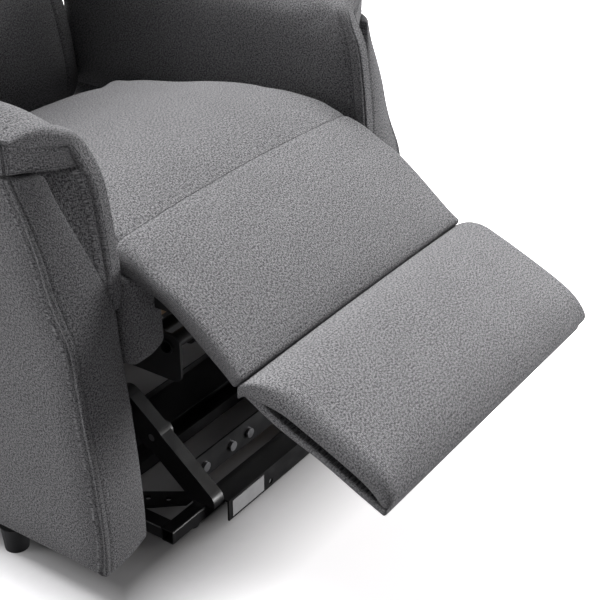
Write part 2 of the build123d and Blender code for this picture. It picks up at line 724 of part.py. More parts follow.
with BuildPart() as torque_tube:
    rod(-SIDE_OUT - 3, SIDE_OUT + 3, TORQUE_PIVOT, 11)
    rod(-SIDE_OUT - 4, SIDE_OUT + 4, TORQUE_PIVOT, 9, Mode.SUBTRACT)
    for side in (PUSH_SIDE, -PUSH_SIDE - PLATE):
        with BuildSketch(side_plane(side)):
            bar(TORQUE_PIVOT, CRANK_PIN, 20)
            hole(TORQUE_PIVOT, 10.5)
        extrude(amount=PLATE)
    for inner, outer in ((PUSH_SIDE, PUSH_SIDE - PLATE - 1.4), (-PUSH_SIDE, -PUSH_SIDE + PLATE + 1.4)):
        rod(inner, outer, CRANK_PIN, 5)
save(torque_tube, "torque_tube")

# ================= Back =================

with BuildPart() as back_hinge_plates:
    with BuildSketch(side_plane(BACK_PLATE_IN)):
        bar(RECLINE_PIVOT, back_point(44, 24), 36)
        bar(back_point(52, 24), back_point(52, 170), 23)
        hole(RECLINE_PIVOT, PIN_RADIUS + RUNNING_GAP)
    extrude(amount=BACK_PLATE_OUT - BACK_PLATE_IN)
    mirrored()
save(back_hinge_plates, "back_hinge_plates")

FRAME_FRONT, FRAME_BACK = 40, 64
with BuildPart() as back_side_rails:
    with BuildSketch(side_plane(BACK_PLATE_OUT)):
        back_outline([(FRAME_FRONT, -10), (FRAME_BACK, -10), (FRAME_BACK, 705), (FRAME_FRONT, 705)])
    extrude(amount=24)
    mirrored()
save(back_side_rails, "back_side_rails")

with BuildPart() as back_cross_rails:
    for low in (0, 340, 665):
        half = BACK_PLATE_IN - 0.5 if low == 0 else BACK_PLATE_OUT
        with BuildSketch(side_plane(-half)):
            back_outline([
                (FRAME_FRONT, low), (FRAME_BACK, low), (FRAME_BACK, low + 40), (FRAME_FRONT, low + 40)
            ])
        extrude(amount=2 * half)
save(back_cross_rails, "back_cross_rails")

# Lugs below the back's lowest rail, which the back actuator moves.
with BuildPart() as back_crank:
    with BuildSketch(side_plane(-MOTOR_SIDE - 16)):
        bar(back_point(52, -12), BACK_CRANK, 20)
    extrude(amount=PLATE)
    with BuildSketch(side_plane(-MOTOR_SIDE + 12)):
        bar(back_point(52, -12), BACK_CRANK, 20)
    extrude(amount=PLATE)
    with BuildSketch(side_plane(-MOTOR_SIDE - 30)):
        back_outline([(FRAME_FRONT, -4), (FRAME_BACK, -4), (FRAME_BACK, -0.3), (FRAME_FRONT, -0.3)])
    extrude(amount=60)
    rod(-MOTOR_SIDE - 18.5, -MOTOR_SIDE - 16, BACK_CRANK, 9)
    rod(-MOTOR_SIDE + 16, -MOTOR_SIDE + 18.5, BACK_CRANK, 9)
save(back_crank, "back_crank")

# Cushions up the back, as (name, half width, lowest, highest, how far the front stands out).
BACK_CUSHIONS = (
    ("lumbar_cushion", 264, 58, 300, 74),
    ("middle_cushion", 268, 303, 520, 60),
    ("head_cushion", 285, 523, 735, 84),
)
for name, half, low, high, proud in BACK_CUSHIONS:
    with BuildPart() as cushion:
        with BuildSketch(side_plane(-half)):
            with BuildLine():
                Spline(
                    back_point(-proud * 0.6, low), back_point(-proud, (low * 2 + high) / 3),
                    back_point(-proud, (low + 2 * high) / 3), back_point(-proud * 0.55, high),
                )
                Polyline(
                    back_point(-proud * 0.55, high), back_point(FRAME_FRONT - 0.5, high),
                    back_point(FRAME_FRONT - 0.5, low), back_point(-proud * 0.6, low),
                )
            make_face()
        extrude(amount=2 * half)
    save(cushion, name)

with BuildPart() as back_panel:
    with BuildSketch(side_plane(-272)):
        back_outline([(FRAME_BACK + 0.5, -6), (112, -6), (120, 40), (120, 720), (100, 735), (65, 735)])
    extrude(amount=544)
save(back_panel, "back_panel")
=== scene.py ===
"""Looks of a lift recliner chair: woven covers over foam, on a black steel lift base.

Every place is in metres in the part's own frame: +X to the sitter's left, +Y to the rear, +Z up.
Side profiles are lists of (depth, height), with depth to the rear of the plane of the arm fronts.
"""

import json
import math

import bpy
import numpy as np
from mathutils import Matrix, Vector
from mathutils.bvhtree import BVHTree


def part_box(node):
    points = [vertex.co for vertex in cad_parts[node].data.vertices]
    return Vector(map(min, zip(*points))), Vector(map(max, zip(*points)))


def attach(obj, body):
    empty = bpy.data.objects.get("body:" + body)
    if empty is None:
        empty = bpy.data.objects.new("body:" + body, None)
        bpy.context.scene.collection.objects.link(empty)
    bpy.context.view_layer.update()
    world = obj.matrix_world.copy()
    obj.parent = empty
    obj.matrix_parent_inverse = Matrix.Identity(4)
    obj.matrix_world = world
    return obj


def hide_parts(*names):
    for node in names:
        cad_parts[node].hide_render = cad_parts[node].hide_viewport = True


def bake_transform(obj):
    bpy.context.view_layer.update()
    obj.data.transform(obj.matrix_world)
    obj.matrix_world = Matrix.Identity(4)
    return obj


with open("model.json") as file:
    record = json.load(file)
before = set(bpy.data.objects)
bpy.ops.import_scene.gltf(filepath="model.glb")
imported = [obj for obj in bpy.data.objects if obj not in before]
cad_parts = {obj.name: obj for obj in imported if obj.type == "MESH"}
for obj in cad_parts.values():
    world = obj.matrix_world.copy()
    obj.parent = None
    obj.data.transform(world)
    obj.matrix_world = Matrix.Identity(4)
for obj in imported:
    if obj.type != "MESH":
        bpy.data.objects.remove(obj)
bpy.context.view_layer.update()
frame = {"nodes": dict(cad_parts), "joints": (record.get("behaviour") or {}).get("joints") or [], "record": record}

# ---- Places taken from the frame ----
ARM_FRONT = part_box("base_front_tube")[0].y + 0.004
ARM_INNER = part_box("arm_shells")[1].x - 0.105
ARM_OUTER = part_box("arm_shells")[1].x
ARM_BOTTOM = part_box("arm_shells")[0].z
ARM_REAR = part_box("arm_shells")[1].y - ARM_FRONT
SEAT_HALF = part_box("seat_cushion")[1].x + 0.004
RECLINE = next(joint for joint in frame["joints"] if joint["name"] == "recline")
BACK_PIVOT = (RECLINE["pos_m"][1] - ARM_FRONT, RECLINE["pos_m"][2])
BACK_LEAN = math.radians(12)

# ---- Sewing ----
SEAM_REACH = 0.008  # half the width of the strip of closer grid lines along a seam
SEAM_DEPTH = 0.0034
SEAM_WIDTH = 0.0034
EDGE_LINES = 5  # grid lines in each rounded edge
STITCH_PITCH = 0.0052
STITCH_SHARES = (0.34, 0.42)  # least and most half length of a stitch, as shares of the pitch


# ================= Curves, grids and skins =================


def track(points, samples=300):
    """A smooth curve through rows of numbers, as a function of distance, and its length.

    The first two columns are a place, and any others ride along."""
    points = np.array(points, float)
    gaps = np.linalg.norm(np.diff(points[:, :2], axis=0), axis=1)
    knots = np.concatenate([[0.0], np.cumsum(gaps)])
    slopes = np.gradient(points, knots, axis=0)
    along = np.linspace(0, knots[-1], samples)
    span = np.clip(np.searchsorted(knots, along, side="right") - 1, 0, len(knots) - 2)
    width = (knots[span + 1] - knots[span])[:, None]
    share = (along - knots[span])[:, None] / width
    curve = (2 * share**3 - 3 * share**2 + 1) * points[span]
    curve += (share**3 - 2 * share**2 + share) * width * slopes[span]
    curve += (3 * share**2 - 2 * share**3) * points[span + 1]
    curve += (share**3 - share**2) * width * slopes[span + 1]

    def at(distance):
        return np.stack([np.interp(distance, along, column) for column in curve.T], axis=-1)

    return at, knots[-1]


def by_height(points):
    """Depth as a function of height, from a side profile."""
    at, length = track(points)
    line = at(np.linspace(0, length, 300))
    return lambda height: np.interp(height, line[:, 1], line[:, 0])


def ramp(value, low, high):
    """0 below low, 1 above high, and a smooth step between."""
    share = np.clip((value - low) / (high - low), 0, 1)
    return share * share * (3 - 2 * share)


def ticks(low, high, step, edge=0.0, seams=()):
    """Grid lines about a step apart, closer in the edges and about each seam."""
    count = max(1, round((high - low - 2 * edge) / step))
    ends = np.linspace(0, edge, EDGE_LINES, endpoint=False)
    lines = np.concatenate([low + ends, np.linspace(low + edge, high - edge, count + 1), high - ends])
    for seam in seams:
        lines = lines[np.abs(lines - seam) > SEAM_REACH + 0.002]
        lines = np.concatenate([lines, seam + np.linspace(-SEAM_REACH, SEAM_REACH, 9)])
    return np.unique(np.round(lines, 5))


def points_of(mesh):
    """The places of a mesh's points, as rows."""
    places = np.empty(len(mesh.vertices) * 3)
    mesh.vertices.foreach_get("co", places)
    return places.reshape(-1, 3)


def outer_faces(counts, open_sides=()):
    """The outer squares of a box grid, each as its side and its four corners, facing out."""
    for axis in range(3):
        across, up = (axis + 1) % 3, (axis + 2) % 3
        for far in (False, True):
            if (axis, far) in open_sides:
                continue
            for column in range(counts[across] - 1):
                for row in range(counts[up] - 1):
                    corners = np.zeros((4, 3), int)
                    corners[:, axis] = (counts[axis] - 1) * far
                    corners[:, across] = (column, column + 1, column + 1, column)
                    corners[:, up] = (row, row, row + 1, row + 1)
                    yield axis, corners if far else corners[::-1]


def face_out(mesh):
    """Turns the faces over if they face inwards."""
    middle = Vector(points_of(mesh).mean(axis=0))
    if sum(face.area * face.normal.dot(face.center - middle) for face in mesh.polygons) < 0:
        mesh.flip_normals()


def shown(name, mesh):
    """A new object in the scene."""
    piece = bpy.data.objects.new(name, mesh)
    bpy.context.scene.collection.objects.link(piece)
    return piece


def box_skin(name, lines, place, open_sides=(), spans=(1, 1, 1)):
    """A skin over the outside of a box of grid lines, moved by place(), and its grid points.

    Its UV map is in metres along the cloth, with V along the box's second axis on most sides.
    spans is how many metres one unit along each axis stands for."""
    flat_axes = {0: (2, 1), 1: (0, 2), 2: (0, 1)}
    numbers = {}
    faces = []
    flats = []
    for axis, corners in outer_faces([len(line) for line in lines], open_sides):
        faces.append([numbers.setdefault(tuple(corner), len(numbers)) for corner in corners])
        u_axis, v_axis = flat_axes[axis]
        for corner in corners:
            flats.append([lines[part][corner[part]] * spans[part] for part in (u_axis, v_axis)])
    grid = np.array([[lines[part][corner[part]] for part in range(3)] for corner in numbers])
    mesh = bpy.data.meshes.new(name)
    mesh.from_pydata(place(grid).tolist(), [], faces)
    mesh.uv_layers.new(name="cloth").data.foreach_set("uv", np.array(flats).ravel())
    mesh.polygons.foreach_set("use_smooth", [True] * len(faces))
    mesh.update()
    face_out(mesh)
    return shown(name, mesh), grid


def round_edges(points, low, high, radius):
    """Points on a box moved onto the same box with rounded edges and corners."""
    radius = np.broadcast_to(radius, len(points))[:, None]
    core = np.clip(points, low + radius, high - radius)
    away = points - core
    length = np.maximum(np.linalg.norm(away, axis=1, keepdims=True), 1e-9)
    return core + away * radius / length


def sunk(distance, depth=SEAM_DEPTH, width=SEAM_WIDTH):
    """How far a seam pulls the cloth in, by the distance from the seam."""
    return depth * np.exp(-((distance / width) ** 2))


def edge_pull(first, second, reach, seams):
    """How far seams along an edge pull the cloth in, across each of the two faces that meet there.

    first and second are the distances in from the two faces; a seam is placed by first - second."""
    near = np.minimum(first, second) < reach
    pull = sum(sunk(first - second - seam, 0.0016, 0.0024) for seam in seams) * near
    return pull * np.clip(1 - first / reach, 0, 1), pull * np.clip(1 - second / reach, 0, 1)


def row_point(x, depth, height):
    """Columns of x, depth and height as points of the row frame."""
    return np.stack(np.broadcast_arrays(x, ARM_FRONT + depth, height), axis=-1)


def mirrored_place(place, side):
    """The same places on the sitter's left (side 1) or right (side -1)."""
    return lambda grid: place(grid) * (side, 1, 1)


# ================= Filling and finishing =================


def puff(piece, held, travel, pressure=4.0, frames=20):
    """Fills a skin with air as cloth, with the held points fixed.  No point moves past travel."""
    start = points_of(piece.data)
    group = piece.vertex_groups.new(name="held")
    group.add(np.flatnonzero(held).tolist(), 1.0, "REPLACE")
    cloth = piece.modifiers.new("filling", "CLOTH")
    cloth.settings.vertex_group_mass = "held"
    cloth.settings.use_pressure = True
    cloth.settings.uniform_pressure_force = pressure
    cloth.settings.effector_weights.gravity = 0
    cloth.settings.quality = 4
    cloth.collision_settings.use_collision = False
    for step in range(1, frames + 1):
        bpy.context.scene.frame_set(step)
    graph = bpy.context.evaluated_depsgraph_get()
    moved = points_of(piece.evaluated_get(graph).data) - start
    length = np.maximum(np.linalg.norm(moved, axis=1, keepdims=True), 1e-9)
    moved *= travel * np.tanh(length / travel) / length
    piece.modifiers.remove(cloth)
    bpy.context.scene.frame_set(1)
    piece.data.vertices.foreach_set("co", (start + moved).ravel())
    piece.data.update()


def plain_mesh(piece):
    """Turns a piece and its modifiers into one plain mesh."""
    graph = bpy.context.evaluated_depsgraph_get()
    piece.data = bpy.data.meshes.new_from_object(
        piece.evaluated_get(graph), preserve_all_data_layers=True, depsgraph=graph
    )
    piece.modifiers.clear()


def subdivide(piece):
    """One round of subdivision, kept in the mesh."""
    surface = piece.modifiers.new("rounding", "SUBSURF")
    surface.levels = 1
    surface.render_levels = 1
    surface.uv_smooth = "NONE"
    plain_mesh(piece)


def cloth_piece(piece, body, nodes):
    """Gives a finished piece its cloth and its body, and hides the CAD nodes that it stands for."""
    piece.data.materials.clear()
    piece.data.materials.append(LINEN)
    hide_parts(*nodes)
    if body:
        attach(piece, body)
    return piece


def row_of(pattern, start, end, count=90):
    """Grid points along the one axis that the pattern leaves open."""
    free = np.linspace(start, end, count)
    return np.stack(np.broadcast_arrays(*(free if part is None else part for part in pattern)), axis=-1)


# ================= Materials =================


class Nodes:
    """Short names for adding and joining nodes in one tree."""

    def __init__(self, tree):
        self.tree = tree

    def add(self, kind, **settings):
        node = self.tree.nodes.new(kind)
        for name, value in settings.items():
            setattr(node, name, value)
        return node

    def put(self, socket, value):
        """Joins a socket to another, or sets its value."""
        if isinstance(value, bpy.types.NodeSocket):
            self.tree.links.new(value, socket)
        elif value is not None:
            socket.default_value = value

    def math(self, operation, *values, clamp=False):
        node = self.add("ShaderNodeMath", operation=operation, use_clamp=clamp)
        for socket, value in zip(node.inputs, values):
            self.put(socket, value)
        return node.outputs[0]

    def mix(self, share, low, high):
        """A mix of two colours."""
        node = self.add("ShaderNodeMix", data_type="RGBA")
        for socket, value in zip((node.inputs[0], node.inputs[6], node.inputs[7]), (share, low, high)):
            self.put(socket, value)
        return node.outputs[2]

    def scaled(self, vector, factors):
        node = self.add("ShaderNodeVectorMath", operation="MULTIPLY")
        self.put(node.inputs[0], vector)
        self.put(node.inputs[1], factors)
        return node.outputs[0]

    def noise(self, vector, scale, detail=2.0, roughness=0.5):
        node = self.add("ShaderNodeTexNoise")
        for name, value in (("Vector", vector), ("Scale", scale), ("Detail", detail)):
            self.put(node.inputs[name], value)
        self.put(node.inputs["Roughness"], roughness)
        return node.outputs["Fac"]

    def levels(self, value, low, high, to_low=0.0, to_high=1.0):
        """Stretches low..high to a new range, and clamps it."""
        node = self.add("ShaderNodeMapRange")
        for socket, number in zip(node.inputs, (value, low, high, to_low, to_high)):
            self.put(socket, number)
        return node.outputs[0]


def group(name, inputs, outputs):
    """A new shader node group with float, colour or vector sockets."""
    tree = bpy.data.node_groups.new(name, "ShaderNodeTree")
    kinds = {"float": "NodeSocketFloat", "color": "NodeSocketColor", "vector": "NodeSocketVector"}
    for label, kind, default in inputs:
        socket = tree.interface.new_socket(label, in_out="INPUT", socket_type=kinds[kind])
        if default is not None:
            socket.default_value = default
    for label, kind in outputs:
        tree.interface.new_socket(label, in_out="OUTPUT", socket_type=kinds[kind])
    nodes = Nodes(tree)
    return nodes, nodes.add("NodeGroupInput").outputs, nodes.add("NodeGroupOutput").inputs


# How closely the cloth's unevenness changes along U and V, per metre.
WARP_GRAIN = (680, 230, 1)
WEFT_GRAIN = (230, 680, 1)
FLECK_GRAIN = (470, 420, 1)


def linen_weave():
    """Two sets of uneven threads that pass over and under each other, with pale and dark flecks, and painted shade
    in the hollows between the threads.
    """
    nodes, given, result = group(
        "linen_weave",
        [("Vector", "vector", None), ("Pitch", "float", 0.0013), ("Light", "color", (0.3, 0.3, 0.3, 1)),
         ("Dark", "color", (0.1, 0.1, 0.1, 1)), ("Contrast", "float", 1.0)],
        [("Color", "color"), ("Height", "float"), ("Roughness", "float")],
    )
    apart = nodes.add("ShaderNodeSeparateXYZ")
    nodes.put(apart.inputs[0], given["Vector"])
    waves = []
    for axis in (0, 1):
        turn = nodes.math("DIVIDE", apart.outputs[axis], given["Pitch"])
        waves.append(nodes.math("SINE", nodes.math("MULTIPLY", turn, math.pi)))
    crossing = nodes.math("MULTIPLY", *waves)
    over = nodes.levels(crossing, -0.25, 0.25)
    height = nodes.math("ABSOLUTE", crossing)
    warp = nodes.noise(nodes.scaled(given["Vector"], WARP_GRAIN), 1.0, 2.0, 0.6)
    weft = nodes.noise(nodes.scaled(given["Vector"], WEFT_GRAIN), 1.0, 2.0, 0.6)
    thread = nodes.math("ADD", nodes.math("MULTIPLY", over, warp),
                        nodes.math("MULTIPLY", nodes.math("SUBTRACT", 1.0, over), weft))
    fleck = nodes.noise(nodes.scaled(given["Vector"], FLECK_GRAIN), 1.0, 1.0, 0.6)
    cloud = nodes.noise(given["Vector"], 16.0, 3.0)
    tone = nodes.math("MULTIPLY_ADD", nodes.math("SUBTRACT", cloud, 0.5), 0.06, thread)
    tone = nodes.math("MULTIPLY_ADD", nodes.math("SUBTRACT", fleck, 0.5), 0.9, tone)
    tone = nodes.math("MULTIPLY_ADD", nodes.math("SUBTRACT", tone, 0.5), given["Contrast"], 0.5)
    tone = nodes.levels(tone, 0.24, 0.76)
    # painted shade: the colour is darker where the weave is low, in the hollows between the threads
    tone_with_painted_hollow_shade = nodes.math("MULTIPLY", tone, nodes.levels(height, 0.0, 0.8, 0.55, 1.0))
    nodes.put(result["Color"], nodes.mix(tone_with_painted_hollow_shade, given["Dark"], given["Light"]))
    nodes.put(result["Height"], nodes.math("MULTIPLY_ADD", tone, 0.6, height))
    nodes.put(result["Roughness"], nodes.levels(tone, 0.0, 1.0, 0.95, 0.8))
    return nodes.tree


def placed(nodes, tree, **values):
    """A node group placed in a material with its own values."""
    node = nodes.add("ShaderNodeGroup")
    node.node_tree = tree
    for name, value in values.items():
        nodes.put(node.inputs[name.replace("_", " ")], value)
    return node


def new_material(name):
    """An empty material, its node helper and its main shader."""
    material = bpy.data.materials.new(name)
    material.use_nodes = True
    nodes = Nodes(material.node_tree)
    return material, nodes, material.node_tree.nodes["Principled BSDF"]


def bump(nodes, shader, height, distance, strength=1.0):
    node = nodes.add("ShaderNodeBump")
    for name, value in (("Height", height), ("Distance", distance), ("Strength", strength)):
        nodes.put(node.inputs[name], value)
    nodes.put(shader.inputs["Normal"], node.outputs[0])


WEAVE = linen_weave()


def linen(name, light, dark, pitch=0.0018):
    """Heathered linen over foam."""
    material, nodes, shader = new_material(name)
    uv = nodes.add("ShaderNodeUVMap", uv_map="cloth").outputs[0]
    weave = placed(nodes, WEAVE, Vector=uv, Pitch=pitch, Light=light, Dark=dark, Contrast=1.7)
    nodes.put(shader.inputs["Base Color"], weave.outputs["Color"])
    nodes.put(shader.inputs["Roughness"], weave.outputs["Roughness"])
    shader.inputs["Specular IOR Level"].default_value = 0.18
    shader.inputs["Sheen Weight"].default_value = 0.08
    shader.inputs["Sheen Roughness"].default_value = 0.45
    bump(nodes, shader, weave.outputs["Height"], 0.0005, 0.9)
    return material


THREAD = linen("grey_thread", (0.20, 0.198, 0.204, 1), (0.035, 0.034, 0.037, 1), 0.0006)
LINEN = linen("grey_linen", (0.30, 0.298, 0.306, 1), (0.052, 0.051, 0.055, 1))


def hard_finish():
    """Fine orange peel, wear at two sizes and dust on the faces that look up."""
    nodes, given, result = group(
        "hard_finish",
        [("Vector", "vector", None), ("Color", "color", (0.1, 0.1, 0.1, 1)),
         ("Worn", "color", (0.2, 0.2, 0.2, 1)), ("Wear", "float", 0.2), ("Grain", "float", 900.0),
         ("Stretch", "vector", (1, 1, 1)), ("Dust", "float", 0.1), ("Roughness", "float", 0.5)],
        [("Color", "color"), ("Height", "float"), ("Roughness", "float")],
    )
    stretched = nodes.scaled(given["Vector"], given["Stretch"])
    peel = nodes.noise(stretched, given["Grain"], 3.0, 0.6)
    rubbed = nodes.noise(stretched, 45.0, 4.0, 0.65)
    worn = nodes.math("MULTIPLY", nodes.levels(rubbed, 0.45, 0.75), given["Wear"], clamp=True)
    face = nodes.add("ShaderNodeNewGeometry")
    apart = nodes.add("ShaderNodeSeparateXYZ")
    nodes.put(apart.inputs[0], face.outputs["Normal"])
    settled = nodes.math("MULTIPLY", nodes.levels(apart.outputs[2], 0.3, 1.0), given["Dust"])
    patchy = nodes.levels(nodes.noise(given["Vector"], 120.0, 4.0, 0.7), 0.3, 0.8)
    dust = nodes.math("MULTIPLY", patchy, settled)
    base = nodes.mix(worn, given["Color"], given["Worn"])
    nodes.put(result["Color"], nodes.mix(dust, base, (0.3, 0.29, 0.28, 1)))
    nodes.put(result["Height"], peel)
    smear = nodes.levels(rubbed, 0.3, 0.7, -0.08, 0.08)
    rough = nodes.math("ADD", given["Roughness"], smear)
    nodes.put(result["Roughness"], nodes.math("MULTIPLY_ADD", dust, 0.4, rough, clamp=True))
    return nodes.tree


FINISH = hard_finish()


def hard(name, color, roughness, metallic=0.0, worn=None, wear=0.2, grain=900.0, stretch=(1, 1, 1),
         dust=0.08, depth=0.00008):
    """A hard surface with its own grain, wear and dust."""
    material, nodes, shader = new_material(name)
    place = nodes.add("ShaderNodeTexCoord").outputs["Object"]
    worn = worn or tuple(0.6 * part + 0.05 for part in color)
    finish = placed(
        nodes, FINISH, Vector=place, Color=(*color, 1), Worn=(*worn, 1), Wear=wear, Grain=grain,
        Stretch=stretch, Dust=dust, Roughness=roughness,
    )
    nodes.put(shader.inputs["Base Color"], finish.outputs["Color"])
    nodes.put(shader.inputs["Roughness"], finish.outputs["Roughness"])
    shader.inputs["Metallic"].default_value = metallic
    bump(nodes, shader, finish.outputs["Height"], depth, 0.6)
    return material


def wood(name, light, dark):
    """Rotary-cut birch plywood: long wavy grain, fine pores, and plies on the cut edges."""
    material, nodes, shader = new_material(name)
    place = nodes.add("ShaderNodeTexCoord").outputs["Object"]
    grain = nodes.noise(nodes.scaled(place, (3, 60, 60)), 1.0, 5.0, 0.6)
    pores = nodes.noise(nodes.scaled(place, (60, 1400, 1400)), 1.0, 2.0, 0.6)
    apart = nodes.add("ShaderNodeSeparateXYZ")
    nodes.put(apart.inputs[0], place)
    plies = nodes.math("SINE", nodes.math("MULTIPLY", apart.outputs[2], 2 * math.pi / 0.003))
    face = nodes.add("ShaderNodeNewGeometry")
    turned = nodes.add("ShaderNodeSeparateXYZ")
    nodes.put(turned.inputs[0], face.outputs["Normal"])
    edge = nodes.levels(nodes.math("ABSOLUTE", turned.outputs[2]), 0.6, 0.3)
    tone = nodes.math("MULTIPLY_ADD", nodes.math("SUBTRACT", pores, 0.5), 0.35, grain)
    tone = nodes.math("MULTIPLY_ADD", nodes.math("MULTIPLY", plies, edge), 0.2, tone)
    nodes.put(shader.inputs["Base Color"], nodes.mix(nodes.levels(tone, 0.25, 0.75), dark, light))
    nodes.put(shader.inputs["Roughness"], nodes.levels(pores, 0.3, 0.7, 0.5, 0.7))
    bump(nodes, shader, tone, 0.0001, 0.5)
    return material


# ================= Stitches and rivets =================


def grown(piece, tree, settings):
    """Runs a geometry tree on a piece and keeps its result as one plain mesh."""
    maker = piece.modifiers.new("maker", "NODES")
    maker.node_group = tree
    for item in tree.interface.items_tree:
        if item.in_out == "INPUT" and item.name in settings:
            maker[item.identifier] = settings[item.name]
    plain_mesh(piece)


def geometry_tree(name, inputs):
    """An empty geometry tree with named inputs besides the piece itself."""
    tree = bpy.data.node_groups.new(name, "GeometryNodeTree")
    tree.interface.new_socket("Geometry", in_out="INPUT", socket_type="NodeSocketGeometry")
    for label, kind in inputs:
        tree.interface.new_socket(label, in_out="INPUT", socket_type=kind)
    tree.interface.new_socket("Geometry", in_out="OUTPUT", socket_type="NodeSocketGeometry")
    nodes = Nodes(tree)
    return nodes, nodes.add("NodeGroupInput").outputs, nodes.add("NodeGroupOutput").inputs


def real_copies(nodes, points, part, turn, scale, finish):
    """Copies of a part on points, made real and given a material."""
    copies = nodes.add("GeometryNodeInstanceOnPoints")
    for label, value in (("Points", points), ("Instance", part), ("Rotation", turn), ("Scale", scale)):
        nodes.put(copies.inputs[label], value)
    real = nodes.add("GeometryNodeRealizeInstances")
    nodes.put(real.inputs[0], copies.outputs[0])
    painted = nodes.add("GeometryNodeSetMaterial")
    nodes.put(painted.inputs["Geometry"], real.outputs[0])
    nodes.put(painted.inputs["Material"], finish)
    return painted.outputs[0]


def ball(nodes, segments, rings):
    """A small sphere of radius 1."""
    part = nodes.add("GeometryNodeMeshUVSphere")
    nodes.put(part.inputs["Segments"], segments)
    nodes.put(part.inputs["Rings"], rings)
    return part.outputs[0]


def turned_to(nodes, direction):
    """A turn that points Z along a direction."""
    turn = nodes.add("FunctionNodeAlignRotationToVector", axis="Z")
    nodes.put(turn.inputs["Vector"], direction)
    return turn.outputs[0]


def stitch_rows():
    """A thread stitch at every pitch along each line of the piece."""
    nodes, given, result = geometry_tree("stitch_rows", (
        ("Pitch", "NodeSocketFloat"), ("Thickness", "NodeSocketFloat"),
        ("Finish", "NodeSocketMaterial"), ("Seed", "NodeSocketInt"),
    ))
    line = nodes.add("GeometryNodeMeshToCurve")
    nodes.put(line.inputs[0], given["Geometry"])
    even = nodes.add("GeometryNodeCurveToPoints", mode="LENGTH")
    nodes.put(even.inputs["Curve"], line.outputs[0])
    nodes.put(even.inputs["Length"], given["Pitch"])
    uneven = nodes.add("FunctionNodeRandomValue", data_type="FLOAT")
    ends = [socket for socket in uneven.inputs if socket.type == "VALUE"]
    for socket, value in zip(ends, STITCH_SHARES):
        nodes.put(socket, value)
    nodes.put(uneven.inputs["Seed"], given["Seed"])
    share = next(socket for socket in uneven.outputs if socket.type == "VALUE")
    size = nodes.add("ShaderNodeCombineXYZ")
    half_length = nodes.math("MULTIPLY", given["Pitch"], share)
    for number, value in enumerate((given["Thickness"], given["Thickness"], half_length)):
        nodes.put(size.inputs[number], value)
    made = real_copies(
        nodes, even.outputs["Points"], ball(nodes, 6, 4), turned_to(nodes, even.outputs["Tangent"]),
        size.outputs[0], given["Finish"],
    )
    nodes.put(result["Geometry"], made)
    return nodes.tree


def rivet_heads():
    """A low dome on every point of the piece."""
    nodes, given, result = geometry_tree("rivet_heads", (
        ("Facing", "NodeSocketVector"), ("Radius", "NodeSocketFloat"), ("Finish", "NodeSocketMaterial"),
    ))
    size = nodes.add("ShaderNodeCombineXYZ")
    flat = nodes.math("MULTIPLY", given["Radius"], 0.45)
    for number, value in enumerate((given["Radius"], given["Radius"], flat)):
        nodes.put(size.inputs[number], value)
    made = real_copies(
        nodes, given["Geometry"], ball(nodes, 20, 12), turned_to(nodes, given["Facing"]),
        size.outputs[0], given["Finish"],
    )
    nodes.put(result["Geometry"], made)
    return nodes.tree


STITCH_ROWS = stitch_rows()
RIVET_HEADS = rivet_heads()


def sewn(name, piece, rows, body, node):
    """Stitches laid on a finished piece, along rows of places near its surface."""
    mesh = piece.data
    surface = BVHTree.FromPolygons(
        [vertex.co for vertex in mesh.vertices], [tuple(face.vertices) for face in mesh.polygons]
    )
    places = []
    edges = []
    for row in rows:
        first = len(places)
        for point in row:
            spot, normal, _, _ = surface.find_nearest(Vector(point))
            places.append(spot + normal * 0.0003)
        edges += [(number, number + 1) for number in range(first, len(places) - 1)]
    guide = bpy.data.meshes.new(name)
    guide.from_pydata(places, edges, [])
    stitches = shown(name, guide)
    settings = {"Pitch": STITCH_PITCH, "Thickness": 0.0005, "Finish": THREAD, "Seed": len(places)}
    grown(stitches, STITCH_ROWS, settings)
    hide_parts(node)
    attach(stitches, body)


def riveted(name, spots, facing, radius, finish, body):
    """Domed rivets at places, all facing one way."""
    guide = bpy.data.meshes.new(name)
    guide.from_pydata(spots, [], [])
    rivets = shown(name, guide)
    settings = {"Facing": facing, "Radius": radius, "Finish": finish}
    grown(rivets, RIVET_HEADS, settings)
    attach(rivets, body)


# ================= Seat and calf cover =================

# Depth and height of the cover's upper edge, its thickness, how far its section leans forward
# in degrees, and how far its middle stands above its edges.
SEAT_STATIONS = (
    (0.525, 0.425, 0.075, 0, 0.010),
    (0.430, 0.447, 0.090, 0, 0.014),
    (0.338, 0.462, 0.108, 0, 0.018),
    (0.260, 0.478, 0.124, 0, 0.020),
    (0.178, 0.488, 0.134, 0, 0.020),
    (0.120, 0.489, 0.132, 0, 0.018),
    (0.084, 0.486, 0.110, 1, 0.016),
    (0.060, 0.480, 0.080, 4, 0.014),
    (0.043, 0.474, 0.060, 8, 0.012),
    (0.025, 0.467, 0.044, 14, 0.011),
    (0.006, 0.458, 0.034, 20, 0.010),
    (-0.016, 0.445, 0.030, 27, 0.010),
    (-0.043, 0.433, 0.028, 33, 0.010),
    (-0.070, 0.415, 0.027, 36, 0.010),
    (-0.100, 0.392, 0.027, 38, 0.010),
    (-0.130, 0.368, 0.027, 40, 0.009),
    (-0.158, 0.346, 0.026, 42, 0.007),
)
SEAT_SEAM_DEPTH = 0.043


def along_stations(stations, half, radius):
    """A function that puts box points (x, distance along, share of thickness) on a cushion."""
    at, length = track(stations)

    def place(grid, seams=()):
        x, distance, share = grid.T
        thickness = at(distance)[:, 2]
        box = np.stack([x, distance, share * thickness], axis=-1)
        high = np.stack(np.broadcast_arrays(half, length, thickness), axis=-1)
        low = high * (-1, 0, 0)
        box = round_edges(box, low, high, np.minimum(radius(distance), 0.48 * thickness))
        x, distance, up = box.T
        depth, height, thickness, lean, crown = at(distance).T
        top = np.clip(up / thickness, 0, 1)
        rise = up - thickness + crown * top * (1 - (x / half) ** 2)
        for seam in seams:
            rise -= sunk(distance - seam) * (share > 0.6)
        lean = np.radians(lean)
        return row_point(x, depth - rise * np.sin(lean), height + rise * np.cos(lean))

    return place, length


